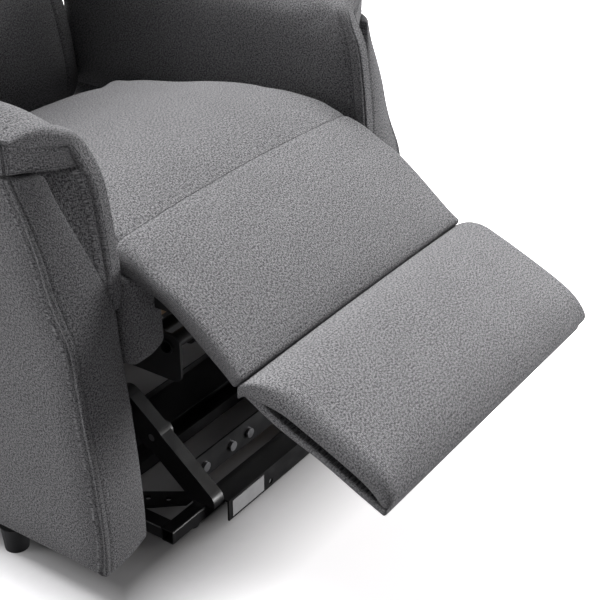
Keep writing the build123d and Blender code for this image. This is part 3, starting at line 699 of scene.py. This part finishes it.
def distance_at(stations, depth):
    """How far along its stations a cushion reaches a depth."""
    at, length = track(stations)
    line = at(np.linspace(0, length, 400))
    return float(np.interp(-depth, -line[:, 0], np.linspace(0, length, 400)))


def thin_piece(name, stations, half, edge, steps, thickness, body, node):
    """A thin piece with narrow round edges, and grid lines at three steps."""
    place, length = along_stations(stations, half, lambda distance: edge)
    lines = (
        ticks(-half, half, steps[0], edge=edge),
        ticks(0, length, steps[1], edge=edge),
        ticks(0, 1, steps[2]),
    )
    piece, _ = box_skin(name, lines, place, spans=(1, 1, thickness))
    subdivide(piece)
    cloth_piece(piece, body, (node,))


def seat_radius(distance):
    """The cover's sides are full on the seat and tighter down the calf section."""
    return 0.028 - 0.012 * ramp(distance, 0.60, 0.70) - 0.010 * ramp(distance, 0.70, 0.735)


def seat_cover():
    """One padded cover over the seat and the calf section, sewn across in front."""
    place, length = along_stations(SEAT_STATIONS, SEAT_HALF, seat_radius)
    seam = distance_at(SEAT_STATIONS, SEAT_SEAM_DEPTH)
    lines = (
        ticks(-SEAT_HALF, SEAT_HALF, 0.013, edge=0.028),
        ticks(0, length, 0.012, edge=0.012, seams=(seam,)),
        ticks(0, 1, 0.17),
    )
    piece, grid = box_skin("seat_cover", lines, lambda grid: place(grid, (seam,)), spans=(1, 1, 0.1))
    on_seam = np.abs(grid[:, 1] - seam) < 0.0005
    below = grid[:, 2] < 0.3
    calf_edge = (grid[:, 1] > seam) & (np.abs(grid[:, 0]) > SEAT_HALF - 0.018)
    puff(piece, on_seam | below | calf_edge | (grid[:, 1] > length - 0.02), travel=0.008)
    subdivide(piece)
    cloth_piece(piece, None, ("seat_cushion", "calf_pad"))
    row = place(row_of((None, seam, 1), -SEAT_HALF + 0.02, SEAT_HALF - 0.02), (seam,))
    sewn("seat_stitches", piece, [row], "chair", "seat_cushion")
    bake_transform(piece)


# A cloth flap from the seat's rear edge, below the back's lowest cushion.
FLAP_STATIONS = (
    (0.496, 0.398, 0.005, -30, 0.0),
    (0.534, 0.375, 0.005, -31, 0.0),
    (0.572, 0.352, 0.005, -30, 0.0),
)
FLAP_HALF = 0.2765


def seat_flap():
    """A sheet that slopes down from the seat's rear edge."""
    steps = (0.02, 0.01, 0.4)
    thin_piece("seat_flap", FLAP_STATIONS, FLAP_HALF, 0.002, steps, 0.005, "chair", "seat_cushion")


# ================= Footrest =================

FOOT_STATIONS = (
    (-0.146, 0.334, 0.020, 0, 0.003),
    (-0.156, 0.342, 0.022, 8, 0.005),
    (-0.170, 0.3485, 0.026, 16, 0.008),
    (-0.190, 0.351, 0.032, 22, 0.012),
    (-0.225, 0.344, 0.036, 24, 0.014),
    (-0.260, 0.330, 0.037, 24, 0.014),
    (-0.292, 0.316, 0.037, 25, 0.013),
    (-0.322, 0.302, 0.037, 28, 0.012),
    (-0.344, 0.289, 0.035, 34, 0.010),
    (-0.360, 0.273, 0.030, 44, 0.008),
    (-0.3685, 0.256, 0.022, 56, 0.005),
    (-0.3695, 0.246, 0.014, 66, 0.003),
)
UNDERLAY_STATIONS = (
    (-0.157, 0.333, 0.014, 22, 0.0),
    (-0.210, 0.303, 0.013, 24, 0.0),
    (-0.268, 0.279, 0.011, 24, 0.0),
    (-0.325, 0.252, 0.011, 24, 0.0),
    (-0.361, 0.236, 0.011, 22, 0.0),
)


def foot_radius(distance):
    """The pad's edges are tight where it meets the calf section, and round further on."""
    return 0.004 + 0.015 * ramp(distance, 0.03, 0.10)


def footrest_cushion():
    """The footrest's pad, which rolls over at the front."""
    place, length = along_stations(FOOT_STATIONS, SEAT_HALF, foot_radius)
    lines = (
        ticks(-SEAT_HALF, SEAT_HALF, 0.013, edge=0.022),
        ticks(0, length, 0.009, edge=0.02),
        ticks(0, 1, 0.14),
    )
    piece, grid = box_skin("footrest_cushion", lines, place, spans=(1, 1, 0.035))
    sides = np.abs(grid[:, 0]) > SEAT_HALF - 0.022
    ends = (grid[:, 1] < 0.016) | (grid[:, 1] > length - 0.018)
    puff(piece, (grid[:, 2] < 0.3) | sides | ends, travel=0.006)
    subdivide(piece)
    cloth_piece(piece, "footrest", ("footrest_pad",))


def footrest_underlay():
    """The cloth-covered board edge below the pad."""
    half = SEAT_HALF - 0.005
    steps = (0.03, 0.02, 0.34)
    thin_piece("footrest_underlay", UNDERLAY_STATIONS, half, 0.004, steps, 0.012, "footrest", "footrest_pad")


# ================= Arms =================

# Side profiles of the arm's front: its outer corner, and the line where the front panel ends,
# which leaves the inner side at seat height and runs outwards as it rises.
FRONT_OUTER = by_height((
    (-0.008, 0.040), (-0.012, 0.097), (-0.008, 0.158), (-0.003, 0.215), (0.005, 0.269),
    (0.011, 0.328), (0.020, 0.390), (0.033, 0.415), (0.047, 0.451), (0.055, 0.485),
    (0.066, 0.517), (0.078, 0.546), (0.096, 0.587), (0.098, 0.640),
))
FRONT_INNER = by_height((
    (0.006, 0.040), (0.006, 0.080), (0.010, 0.150), (0.016, 0.228), (0.021, 0.301),
    (0.022, 0.353), (0.017, 0.403), (0.026, 0.457), (0.041, 0.504), (0.055, 0.548), (0.068, 0.600),
))
PANEL_EDGE = by_height((
    (0.277, 0.040), (0.277, 0.228), (0.280, 0.301), (0.285, 0.353), (0.294, 0.403),
    (0.310, 0.457), (0.324, 0.504), (0.337, 0.548), (0.352, 0.600),
))
# The padded strip that edges the lining: where its outer seam lies, by height.
STRIP_SEAM = by_height((
    (0.024, 0.385), (0.018, 0.430), (0.022, 0.477), (0.028, 0.528), (0.039, 0.577), (0.055, 0.598),
    (0.060, 0.640),
))
PAD_SEAM = 0.587
ARM_ROUND = 0.009
SIDE_SWELL = 0.002  # how far the padded side stands out behind its front corner
CORNER_SEAMS = (0.0, 0.014)  # the sewn front corner and its row of top stitching


def front_between(x, height):
    """Depth of the arm's front face at a place across it."""
    share = (ARM_OUTER - x) / (ARM_OUTER - PANEL_EDGE(height))
    return FRONT_OUTER(height) + share * (FRONT_INNER(height) - FRONT_OUTER(height))


def arm_side_place(grid):
    """Box points (in from the outer side, depth from the front, height) on the arm's side."""
    width = ARM_OUTER - ARM_INNER
    low = np.array([0, 0, ARM_BOTTOM])
    high = np.array([width, ARM_REAR, PAD_SEAM])
    radius = ARM_ROUND - 0.006 * ramp(grid[:, 2], PAD_SEAM - 0.03, PAD_SEAM - 0.01)
    inward, back, height = round_edges(grid, low, high, radius).T
    inwards, backwards = edge_pull(grid[:, 0], grid[:, 1], ARM_ROUND, CORNER_SEAMS)
    x = ARM_OUTER - inward / width * (ARM_OUTER - PANEL_EDGE(height)) - inwards
    rise = np.sin(np.pi * np.clip((height - ARM_BOTTOM) / (PAD_SEAM - ARM_BOTTOM), 0, 1))
    swell = ramp(back, -0.01, 0.04) * (1 - ramp(back, 0.10, 0.22)) * (1 - inward / width)
    x = x + SIDE_SWELL * rise * swell
    front = front_between(x, height)
    depth = front + back * (ARM_REAR - front) / ARM_REAR
    crown = 0.005 * np.sin(np.pi * np.clip(inward / width, 0, 1)) * np.exp(-back / 0.02)
    return row_point(x, depth - crown + backwards, height)


def arm_side(side, label):
    """The arm's outer side and front panel, with its sewn corner."""
    width = ARM_OUTER - ARM_INNER
    lines = (
        ticks(0, width, 0.012, edge=ARM_ROUND, seams=(CORNER_SEAMS[1],)),
        ticks(0, ARM_REAR, 0.02, edge=ARM_ROUND),
        ticks(ARM_BOTTOM, PAD_SEAM, 0.016, edge=ARM_ROUND),
    )
    place = mirrored_place(arm_side_place, side)
    piece, grid = box_skin(f"arm_side_{label}", lines, place)
    inner = grid[:, 0] > width - 0.001
    corner = (grid[:, 0] < 0.022) & (grid[:, 1] < 0.001)
    puff(piece, inner | corner, travel=0.004)
    subdivide(piece)
    cloth_piece(piece, "chair", ("arm_shells",))
    rows = [
        place(row_of((CORNER_SEAMS[1], 0, None), ARM_BOTTOM + 0.01, PAD_SEAM - 0.004)),
        place(row_of((0, None, PAD_SEAM - 0.007), 0.01, ARM_REAR - 0.01)),
    ]
    sewn(f"arm_side_stitches_{label}", piece, rows, "chair", "arm_shells")


YOKE_INNER = 0.300
YOKE_LOW = 0.388
YOKE_TOP = 0.636


def arm_yoke_place(grid):
    """Box points (x, depth from the front, height) on the band below the pad and its gusset."""
    low = np.array([YOKE_INNER, 0, YOKE_LOW])
    high = np.array([ARM_OUTER - 0.0005, ARM_REAR, YOKE_TOP])
    radius = ARM_ROUND - 0.005 * ramp(grid[:, 2], PAD_SEAM + 0.01, PAD_SEAM + 0.03)
    x, back, height = round_edges(grid, low, high, radius).T
    inwards, backwards = edge_pull(high[0] - grid[:, 0], grid[:, 1], ARM_ROUND, (0.0,))
    above = ramp(height, PAD_SEAM - 0.003, PAD_SEAM + 0.003)
    share = (x - YOKE_INNER) / (ARM_OUTER - YOKE_INNER)
    front = STRIP_SEAM(height) + share * (FRONT_OUTER(height) - STRIP_SEAM(height))
    crevice = 0.013 * np.clip((x - YOKE_INNER) / 0.03, 0, 1)
    front = front + (1 - above) * crevice + sunk(height - PAD_SEAM) + backwards
    x = x - (1 - above) * 0.014 * ramp(x, 0.34, 0.37) - inwards
    bulge = 0.003 * np.sin(np.pi * np.clip((height - PAD_SEAM) / (YOKE_TOP - PAD_SEAM), 0, 1))
    top_share = np.clip((height - PAD_SEAM) / (YOKE_TOP - PAD_SEAM), 0, 1)
    height = height - top_share * (0.030 - 0.022 * ramp(back, 0.05, 0.15)) * (1 - share)
    depth = front - bulge + back * (ARM_REAR - front) / ARM_REAR
    return row_point(x, depth, height)


def arm_yoke(side, label):
    """The band below the arm's pad and the gusset in front."""
    lines = (
        ticks(YOKE_INNER, ARM_OUTER - 0.0005, 0.012, edge=ARM_ROUND),
        ticks(0, ARM_REAR, 0.02, edge=ARM_ROUND),
        ticks(YOKE_LOW, YOKE_TOP, 0.014, edge=ARM_ROUND, seams=(PAD_SEAM,)),
    )
    place = mirrored_place(arm_yoke_place, side)
    piece, _ = box_skin(f"arm_yoke_{label}", lines, place)
    subdivide(piece)
    cloth_piece(piece, "chair", ("arm_shells",))
    rows = [
        place(row_of((None, 0, PAD_SEAM + 0.006), YOKE_INNER + 0.01, ARM_OUTER - 0.005)),
        place(row_of((None, 0, YOKE_TOP - 0.008), YOKE_INNER + 0.01, ARM_OUTER - 0.005)),
        place(row_of((ARM_OUTER, None, PAD_SEAM + 0.006), 0.01, ARM_REAR - 0.01)),
        place(row_of((YOKE_INNER + 0.012, 0, None), YOKE_LOW + 0.01, PAD_SEAM - 0.01)),
    ]
    sewn(f"arm_yoke_stitches_{label}", piece, rows, "chair", "arm_shells")


# The lining goes up the arm's inner side and over its top.  Each row is x and height of its
# visible face, and the depth of its front.
WRAP_STATIONS = (
    (0.277, 0.390, 0.026),
    (0.277, 0.430, 0.018),
    (0.277, 0.477, 0.021),
    (0.277, 0.528, 0.027),
    (0.278, 0.577, 0.038),
    (0.281, 0.603, 0.052),
    (0.289, 0.627, 0.062),
    (0.303, 0.643, 0.066),
    (0.322, 0.653, 0.070),
    (0.342, 0.656, 0.075),
    (0.361, 0.653, 0.082),
    (0.374, 0.646, 0.090),
    (0.3815, 0.636, 0.097),
)
WRAP_THICK = 0.026
STRIP_WIDTH = 0.020


def arm_wrap_place(grid):
    """Box points (distance over the arm, depth from the front, thickness) on the lining."""
    at, length = track(WRAP_STATIONS)
    low = np.zeros(3)
    high = np.array([length, ARM_REAR, WRAP_THICK])
    over = ramp(grid[:, 0], 0.20, 0.25)
    radius = 0.007 + 0.0055 * over - 0.0085 * ramp(grid[:, 0], length - 0.03, length - 0.012)
    along, back, out = round_edges(grid, low, high, radius).T
    pulled_back, pulled_in = edge_pull(WRAP_THICK - grid[:, 2], grid[:, 1], 0.007, (0.0,))
    lining = sunk(grid[:, 1] - STRIP_WIDTH, 0.0014, 0.0022) * (grid[:, 2] > WRAP_THICK - 0.001)
    back = back + pulled_in * (1 - over)
    out = out - (pulled_back + lining) * (1 - over)
    here = at(along)
    ahead = at(np.minimum(along + 0.002, length)) - at(np.maximum(along - 0.002, 0))
    normal = np.stack([-ahead[:, 1], ahead[:, 0]], axis=-1)
    normal /= np.linalg.norm(normal, axis=1, keepdims=True)
    x = here[:, 0] + normal[:, 0] * (out - WRAP_THICK)
    height = here[:, 1] + normal[:, 1] * (out - WRAP_THICK)
    front = here[:, 2]
    depth = front + back * (ARM_REAR - front) / ARM_REAR
    droop = 0.016 * np.exp(-((back / 0.05) ** 2)) * ramp(along, 0.22, 0.27)
    return row_point(x, depth, height - droop)


def arm_wrap(side, label):
    """The padded lining, up the arm's inner side and over its top."""
    _, length = track(WRAP_STATIONS)
    lines = (
        ticks(0, length, 0.011, edge=0.012),
        ticks(0, ARM_REAR, 0.016, edge=0.010, seams=(STRIP_WIDTH,)),
        ticks(0, WRAP_THICK, 0.006, edge=0.006),
    )
    place = mirrored_place(arm_wrap_place, side)
    piece, grid = box_skin(f"arm_lining_{label}", lines, place)
    hidden = grid[:, 2] < 0.004
    sewn_down = grid[:, 1] < STRIP_WIDTH + 0.001
    puff(piece, hidden | sewn_down, travel=0.006)
    subdivide(piece)
    cloth_piece(piece, "chair", ("arm_pads",))
    rows = [
        place(row_of((None, STRIP_WIDTH, WRAP_THICK), 0.01, 0.23)),
        place(row_of((None, 0, 0.006), 0.01, 0.23)),
        place(row_of((length - 0.004, None, WRAP_THICK), 0.02, ARM_REAR - 0.01)),
    ]
    sewn(f"arm_lining_stitches_{label}", piece, rows, "chair", "arm_pads")


def cheek(side, label):
    """A padded corner below the seat, beside the arm."""
    low = np.array([0.208, 0.012, 0.303])
    high = np.array([0.276, 0.062, 0.436])

    def place(grid):
        x, depth, height = round_edges(grid, low, high, 0.014).T
        corner = np.clip(1 - (x - low[0]) / 0.03, 0, 1) * np.clip(1 - (height - low[2]) / 0.03, 0, 1)
        return row_point(x, depth, height + 0.02 * corner**1.5)

    lines = [ticks(*ends, 0.008, edge=0.014) for ends in zip(low, high)]
    piece, grid = box_skin(f"seat_cheek_{label}", lines, mirrored_place(place, side))
    puff(piece, grid[:, 1] > high[1] - 0.001, travel=0.004)
    subdivide(piece)
    cloth_piece(piece, "chair", ("seat_cheeks",))


# ================= Back =================


def back_place(x, rear, up):
    """Points given along and across the leaning back."""
    depth = BACK_PIVOT[0] + rear * math.cos(BACK_LEAN) + up * math.sin(BACK_LEAN)
    height = BACK_PIVOT[1] - rear * math.sin(BACK_LEAN) + up * math.cos(BACK_LEAN)
    return row_point(x, depth, height)


# Name, half width, lowest, highest, how far the front stands out, and how far its sides fall back.
BACK_CUSHIONS = (
    ("lumbar_cushion", 0.2745, 0.044, 0.302, 0.084, 0.056),
    ("middle_cushion", 0.274, 0.300, 0.522, 0.070, 0.048),
    ("head_cushion", 0.288, 0.520, 0.738, 0.090, 0.050),
)
BACK_FRAME = 0.039
BACK_SEAM = 0.215


def back_cushion(name, half, low_up, high_up, proud, fall):
    low = np.array([-half, low_up, -proud])
    high = np.array([half, high_up, BACK_FRAME])
    middle = (low_up + high_up) / 2
    tall = (high_up - low_up) / 2

    def place(grid):
        radius = 0.008 + 0.028 * ramp(BACK_FRAME - grid[:, 2], 0.02, 0.07)
        x, up, rear = round_edges(grid, low, high, radius).T
        forward = (BACK_FRAME - rear) / (BACK_FRAME + proud)
        across = np.abs(x / half) ** 2.6
        above = np.abs((up - middle) / tall) ** 3
        rear = rear + forward * (fall * across + 0.022 * above)
        rear = rear + forward * sum(sunk(x - sew, 0.003, 0.005) for sew in (-BACK_SEAM, BACK_SEAM))
        x = x * (1 - 0.012 * forward * above)
        return back_place(x, rear, up)

    lines = (
        ticks(-half, half, 0.014, edge=0.036, seams=(-BACK_SEAM, BACK_SEAM)),
        ticks(low_up, high_up, 0.014, edge=0.036),
        ticks(-proud, BACK_FRAME, 0.014, edge=0.03),
    )
    piece, grid = box_skin(name + "_cover", lines, place)
    on_seam = np.abs(np.abs(grid[:, 0]) - BACK_SEAM) < 0.0005
    puff(piece, on_seam | (grid[:, 2] > BACK_FRAME - 0.02), travel=0.016)
    subdivide(piece)
    cloth_piece(piece, "back", (name,))
    rows = [place(row_of((x, None, -proud), low_up + 0.03, high_up - 0.03)) for x in (-BACK_SEAM, BACK_SEAM)]
    sewn(name + "_stitches", piece, rows, "back", name)


def back_cover():
    """The cloth-covered rear of the back."""
    low = np.array([-0.272, -0.006, BACK_FRAME + 0.001])
    high = np.array([0.272, 0.735, 0.120])

    def place(grid):
        radius = 0.018 - 0.014 * ramp(0.07 - grid[:, 2], 0.0, 0.02)
        x, up, rear = round_edges(grid, low, high, radius).T
        return back_place(x, rear, up)

    lines = (
        ticks(-0.272, 0.272, 0.02, edge=0.018),
        ticks(-0.006, 0.735, 0.02, edge=0.018),
        ticks(BACK_FRAME + 0.001, 0.120, 0.01, edge=0.018),
    )
    piece, grid = box_skin("back_cover", lines, place)
    puff(piece, grid[:, 2] < 0.07, travel=0.006)
    subdivide(piece)
    cloth_piece(piece, "back", ("back_panel",))
    rows = [place(row_of((x, None, 0.120), 0.01, 0.72)) for x in (-0.252, 0.252)]
    rows += [place(row_of((None, up, 0.120), -0.25, 0.25)) for up in (0.012, 0.715)]
    sewn("back_cover_stitches", piece, rows, "back", "back_panel")


# ================= Pockets =================


def side_pocket(side, label):
    """A pocket sewn to the arm on three sides and open above."""
    low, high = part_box("side_pockets")
    inner, outer = ARM_OUTER, high.x
    start, end = low.y - ARM_FRONT, high.y - ARM_FRONT
    box_low = np.array([inner, start, low.z])
    box_high = np.array([outer, end, high.z])

    def place(grid):
        x, depth, height = grid.T
        share = (x - inner) / (outer - inner)
        side_pull = np.sin(np.pi * np.clip((depth - start) / (end - start), 0, 1)) ** 0.35
        low_pull = np.clip((height - low.z) / 0.03, 0, 1) ** 0.5
        x = inner + share * (outer - inner) * (0.25 + 0.75 * side_pull * low_pull)
        return row_point(x, depth, height)

    lines = [ticks(*ends, 0.01, edge=0.008) for ends in zip(box_low, box_high)]
    place = mirrored_place(place, side)
    piece, _ = box_skin(f"side_pocket_{label}", lines, place, open_sides=((0, False), (2, True)))
    cloth = piece.modifiers.new("cloth", "SOLIDIFY")
    cloth.thickness = 0.002
    cloth.offset = -1
    plain_mesh(piece)
    subdivide(piece)
    cloth_piece(piece, "chair", ("side_pockets",))
    rows = [place(row_of((outer, None, high.z - drop), start + 0.02, end - 0.02)) for drop in (0.006, 0.022)]
    sewn(f"pocket_stitches_{label}", piece, rows, "chair", "side_pockets")


# ================= Hard parts =================

BRUSHED = (4, 4, 0.15)
FINISHES = {
    "black_steel": hard(
        "black_powder_coat", (0.007, 0.007, 0.008), 0.42, worn=(0.03, 0.03, 0.03), dust=0.02
    ),
    "plywood": wood("birch_plywood", (0.55, 0.4, 0.25, 1), (0.4, 0.26, 0.14, 1)),
    "black_plastic": hard("black_moulding", (0.018, 0.018, 0.02), 0.52, grain=1600.0, depth=0.00012),
    "rod_steel": hard("ground_steel", (0.6, 0.6, 0.6), 0.25, 1.0, stretch=BRUSHED, dust=0.02, depth=0.00003),
    "actuator_aluminium": hard("satin_aluminium", (0.5, 0.5, 0.52), 0.4, 1.0, stretch=BRUSHED, dust=0.04),
    "zinc_bolts": hard(
        "zinc_plate", (0.42, 0.42, 0.44), 0.4, 1.0, worn=(0.3, 0.3, 0.32), wear=0.6, grain=400.0
    ),
    "spring_steel": hard("oiled_spring_wire", (0.2, 0.2, 0.21), 0.38, 1.0, worn=(0.1, 0.09, 0.08), wear=0.5),
    "blank_label": hard(
        "blank_label_film", (0.4, 0.4, 0.41), 0.42, worn=(0.28, 0.28, 0.29), wear=0.5, dust=0.05
    ),
    "button_rubber": hard("dark_rubber", (0.07, 0.07, 0.075), 0.75, grain=2200.0, depth=0.0001),
    "linen_fabric": LINEN,
}
for subpart in frame["record"]["subparts"]:
    node = frame["nodes"][subpart["node"]]
    node.data.materials.clear()
    node.data.materials.append(FINISHES[subpart["material_slot"]])


FOOTREST_RIVETS = ((-0.240, 0.264), (-0.276, 0.248))


def footrest_rivets():
    """Rivets that join the footrest board to its two arms."""
    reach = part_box("footrest_arms")[1].x
    for side, label in ((1, "left"), (-1, "right")):
        spots = [row_point(side * reach, depth, height).tolist() for depth, height in FOOTREST_RIVETS]
        riveted(
            f"footrest_rivets_{label}", spots, (side, 0, 0), 0.0045,
            FINISHES["zinc_bolts"], "footrest",
        )


# ================= Building =================

seat_cover()
seat_flap()
footrest_cushion()
footrest_underlay()
footrest_rivets()
for side, label in ((1, "left"), (-1, "right")):
    arm_side(side, label)
    arm_yoke(side, label)
    arm_wrap(side, label)
    cheek(side, label)
    side_pocket(side, label)
for cushion in BACK_CUSHIONS:
    back_cushion(*cushion)
back_cover()


# ================= Floor, lights and camera =================


FLOOR_BOUNCE = 0.26  # share of light that the floor gives back to the chair


def floor_material():
    """A studio floor with a painted glow, like a light table, away from the chair, and a painted shadow below the
    chair.

    It gives less light back to the chair than it seems to the camera to hold."""
    material, nodes, shader = new_material("studio_floor_painted_glow_and_shadow")
    eye = nodes.add("ShaderNodeLightPath").outputs["Is Camera Ray"]
    place = nodes.add("ShaderNodeTexCoord").outputs["Object"]
    apart = nodes.add("ShaderNodeSeparateXYZ")
    nodes.put(apart.inputs[0], place)
    past_side = nodes.math("SUBTRACT", nodes.math("ABSOLUTE", apart.outputs[0]), 0.36)
    from_middle = nodes.math("ABSOLUTE", nodes.math("SUBTRACT", apart.outputs[1], 0.1))
    past_front = nodes.math("SUBTRACT", from_middle, 0.37)
    beyond = nodes.math("MAXIMUM", past_side, past_front)
    # clear is 0 below and near the chair and 1 further out; it sets where the painted shadow and the painted glow
    # lie
    clear = nodes.levels(beyond, -0.02, 0.16)
    fine = nodes.levels(nodes.noise(place, 60.0, 3.0), 0.3, 0.7, 0.97, 1.0)
    # painted shadow: to the camera the floor's colour falls from 0.93 away from the chair to 0.45 below it
    held = nodes.levels(clear, 0.0, 1.0, 0.45, 0.93)
    albedo_with_painted_shadow = nodes.math("MULTIPLY", nodes.levels(eye, 0.0, 1.0, FLOOR_BOUNCE, held), fine)
    nodes.put(shader.inputs["Base Color"], nodes.mix(albedo_with_painted_shadow, (0, 0, 0, 1), (0.99, 0.98, 1, 1)))
    nodes.put(shader.inputs["Emission Color"], (1, 0.99, 1, 1))
    # painted glow: away from the chair the floor glows to the camera, though it is no lamp
    painted_glow = nodes.math("MULTIPLY", nodes.math("MULTIPLY", clear, eye), 0.75)
    nodes.put(shader.inputs["Emission Strength"], painted_glow)
    shader.inputs["Roughness"].default_value = 0.8
    shader.inputs["Specular IOR Level"].default_value = 0.0
    return material


def floor():
    mesh = bpy.data.meshes.new("floor")
    reach = 12.0
    mesh.from_pydata(
        [(-reach, -reach, 0), (reach, -reach, 0), (reach, reach, 0), (-reach, reach, 0)],
        [], [(0, 1, 2, 3)],
    )
    mesh.materials.append(floor_material())
    shown("floor", mesh)


def aimed(name, light, place, target):
    """A light at a place, turned to a target."""
    lamp = bpy.data.objects.new(name, light)
    lamp.location = place
    lamp.rotation_euler = (Vector(target) - Vector(place)).to_track_quat("-Z", "Y").to_euler()
    lamp.visible_camera = False
    bpy.context.scene.collection.objects.link(lamp)


def softbox(name, place, target, size, power):
    light = bpy.data.lights.new(name, "AREA")
    light.shape = "RECTANGLE"
    light.size, light.size_y = size
    light.energy = power
    aimed(name, light, place, target)


def sky_panel(place, target, width, strength):
    """A very wide, far panel overhead, as a sun with a broad disc."""
    light = bpy.data.lights.new("overhead", "SUN")
    light.energy = strength
    light.angle = math.radians(width)
    aimed("overhead", light, place, target)


def studio():
    sky_panel((0.8, 2.1, 5), (0, 0, 0.4), 46, 7.8)
    softbox("right_softbox", (1.45, -0.5, 0.7), (0.1, -0.1, 0.4), (0.8, 0.8), 10)
    softbox("front_softbox", (1.3, -2.2, 0.25), (0.1, -0.5, 0.3), (0.8, 0.5), 38)
    softbox("left_softbox", (-2.6, 2.2, 0.6), (0, 0, 0.3), (1.6, 1.6), 78)
    world = bpy.data.worlds.new("studio")
    world.use_nodes = True
    nodes = Nodes(world.node_tree)
    backdrop = world.node_tree.nodes["Background"].inputs
    backdrop["Color"].default_value = (1, 1, 1, 1)
    eye = nodes.add("ShaderNodeLightPath").outputs["Is Camera Ray"]
    nodes.put(backdrop["Strength"], nodes.levels(eye, 0.0, 1.0, 0.05, 1.0))
    bpy.context.scene.world = world
    bpy.context.scene.view_settings.view_transform = "Standard"


CAMERA_PLACE = (-1.3809, -1.2623, 1.2407)
CAMERA_TURN = 55.2
CAMERA_FALL = 29.2
CAMERA_LENS = 82.89


def camera():
    turn, fall = math.radians(CAMERA_TURN), math.radians(CAMERA_FALL)
    ahead = Vector((
        math.sin(turn) * math.cos(fall), math.cos(turn) * math.cos(fall), -math.sin(fall)
    ))
    lens = bpy.data.cameras.new("camera")
    lens.sensor_width = 36
    lens.lens = CAMERA_LENS
    seat = bpy.data.objects.new("camera", lens)
    seat.location = CAMERA_PLACE
    seat.rotation_euler = ahead.to_track_quat("-Z", "Y").to_euler()
    bpy.context.scene.collection.objects.link(seat)
    bpy.context.scene.camera = seat


floor()
studio()
camera()
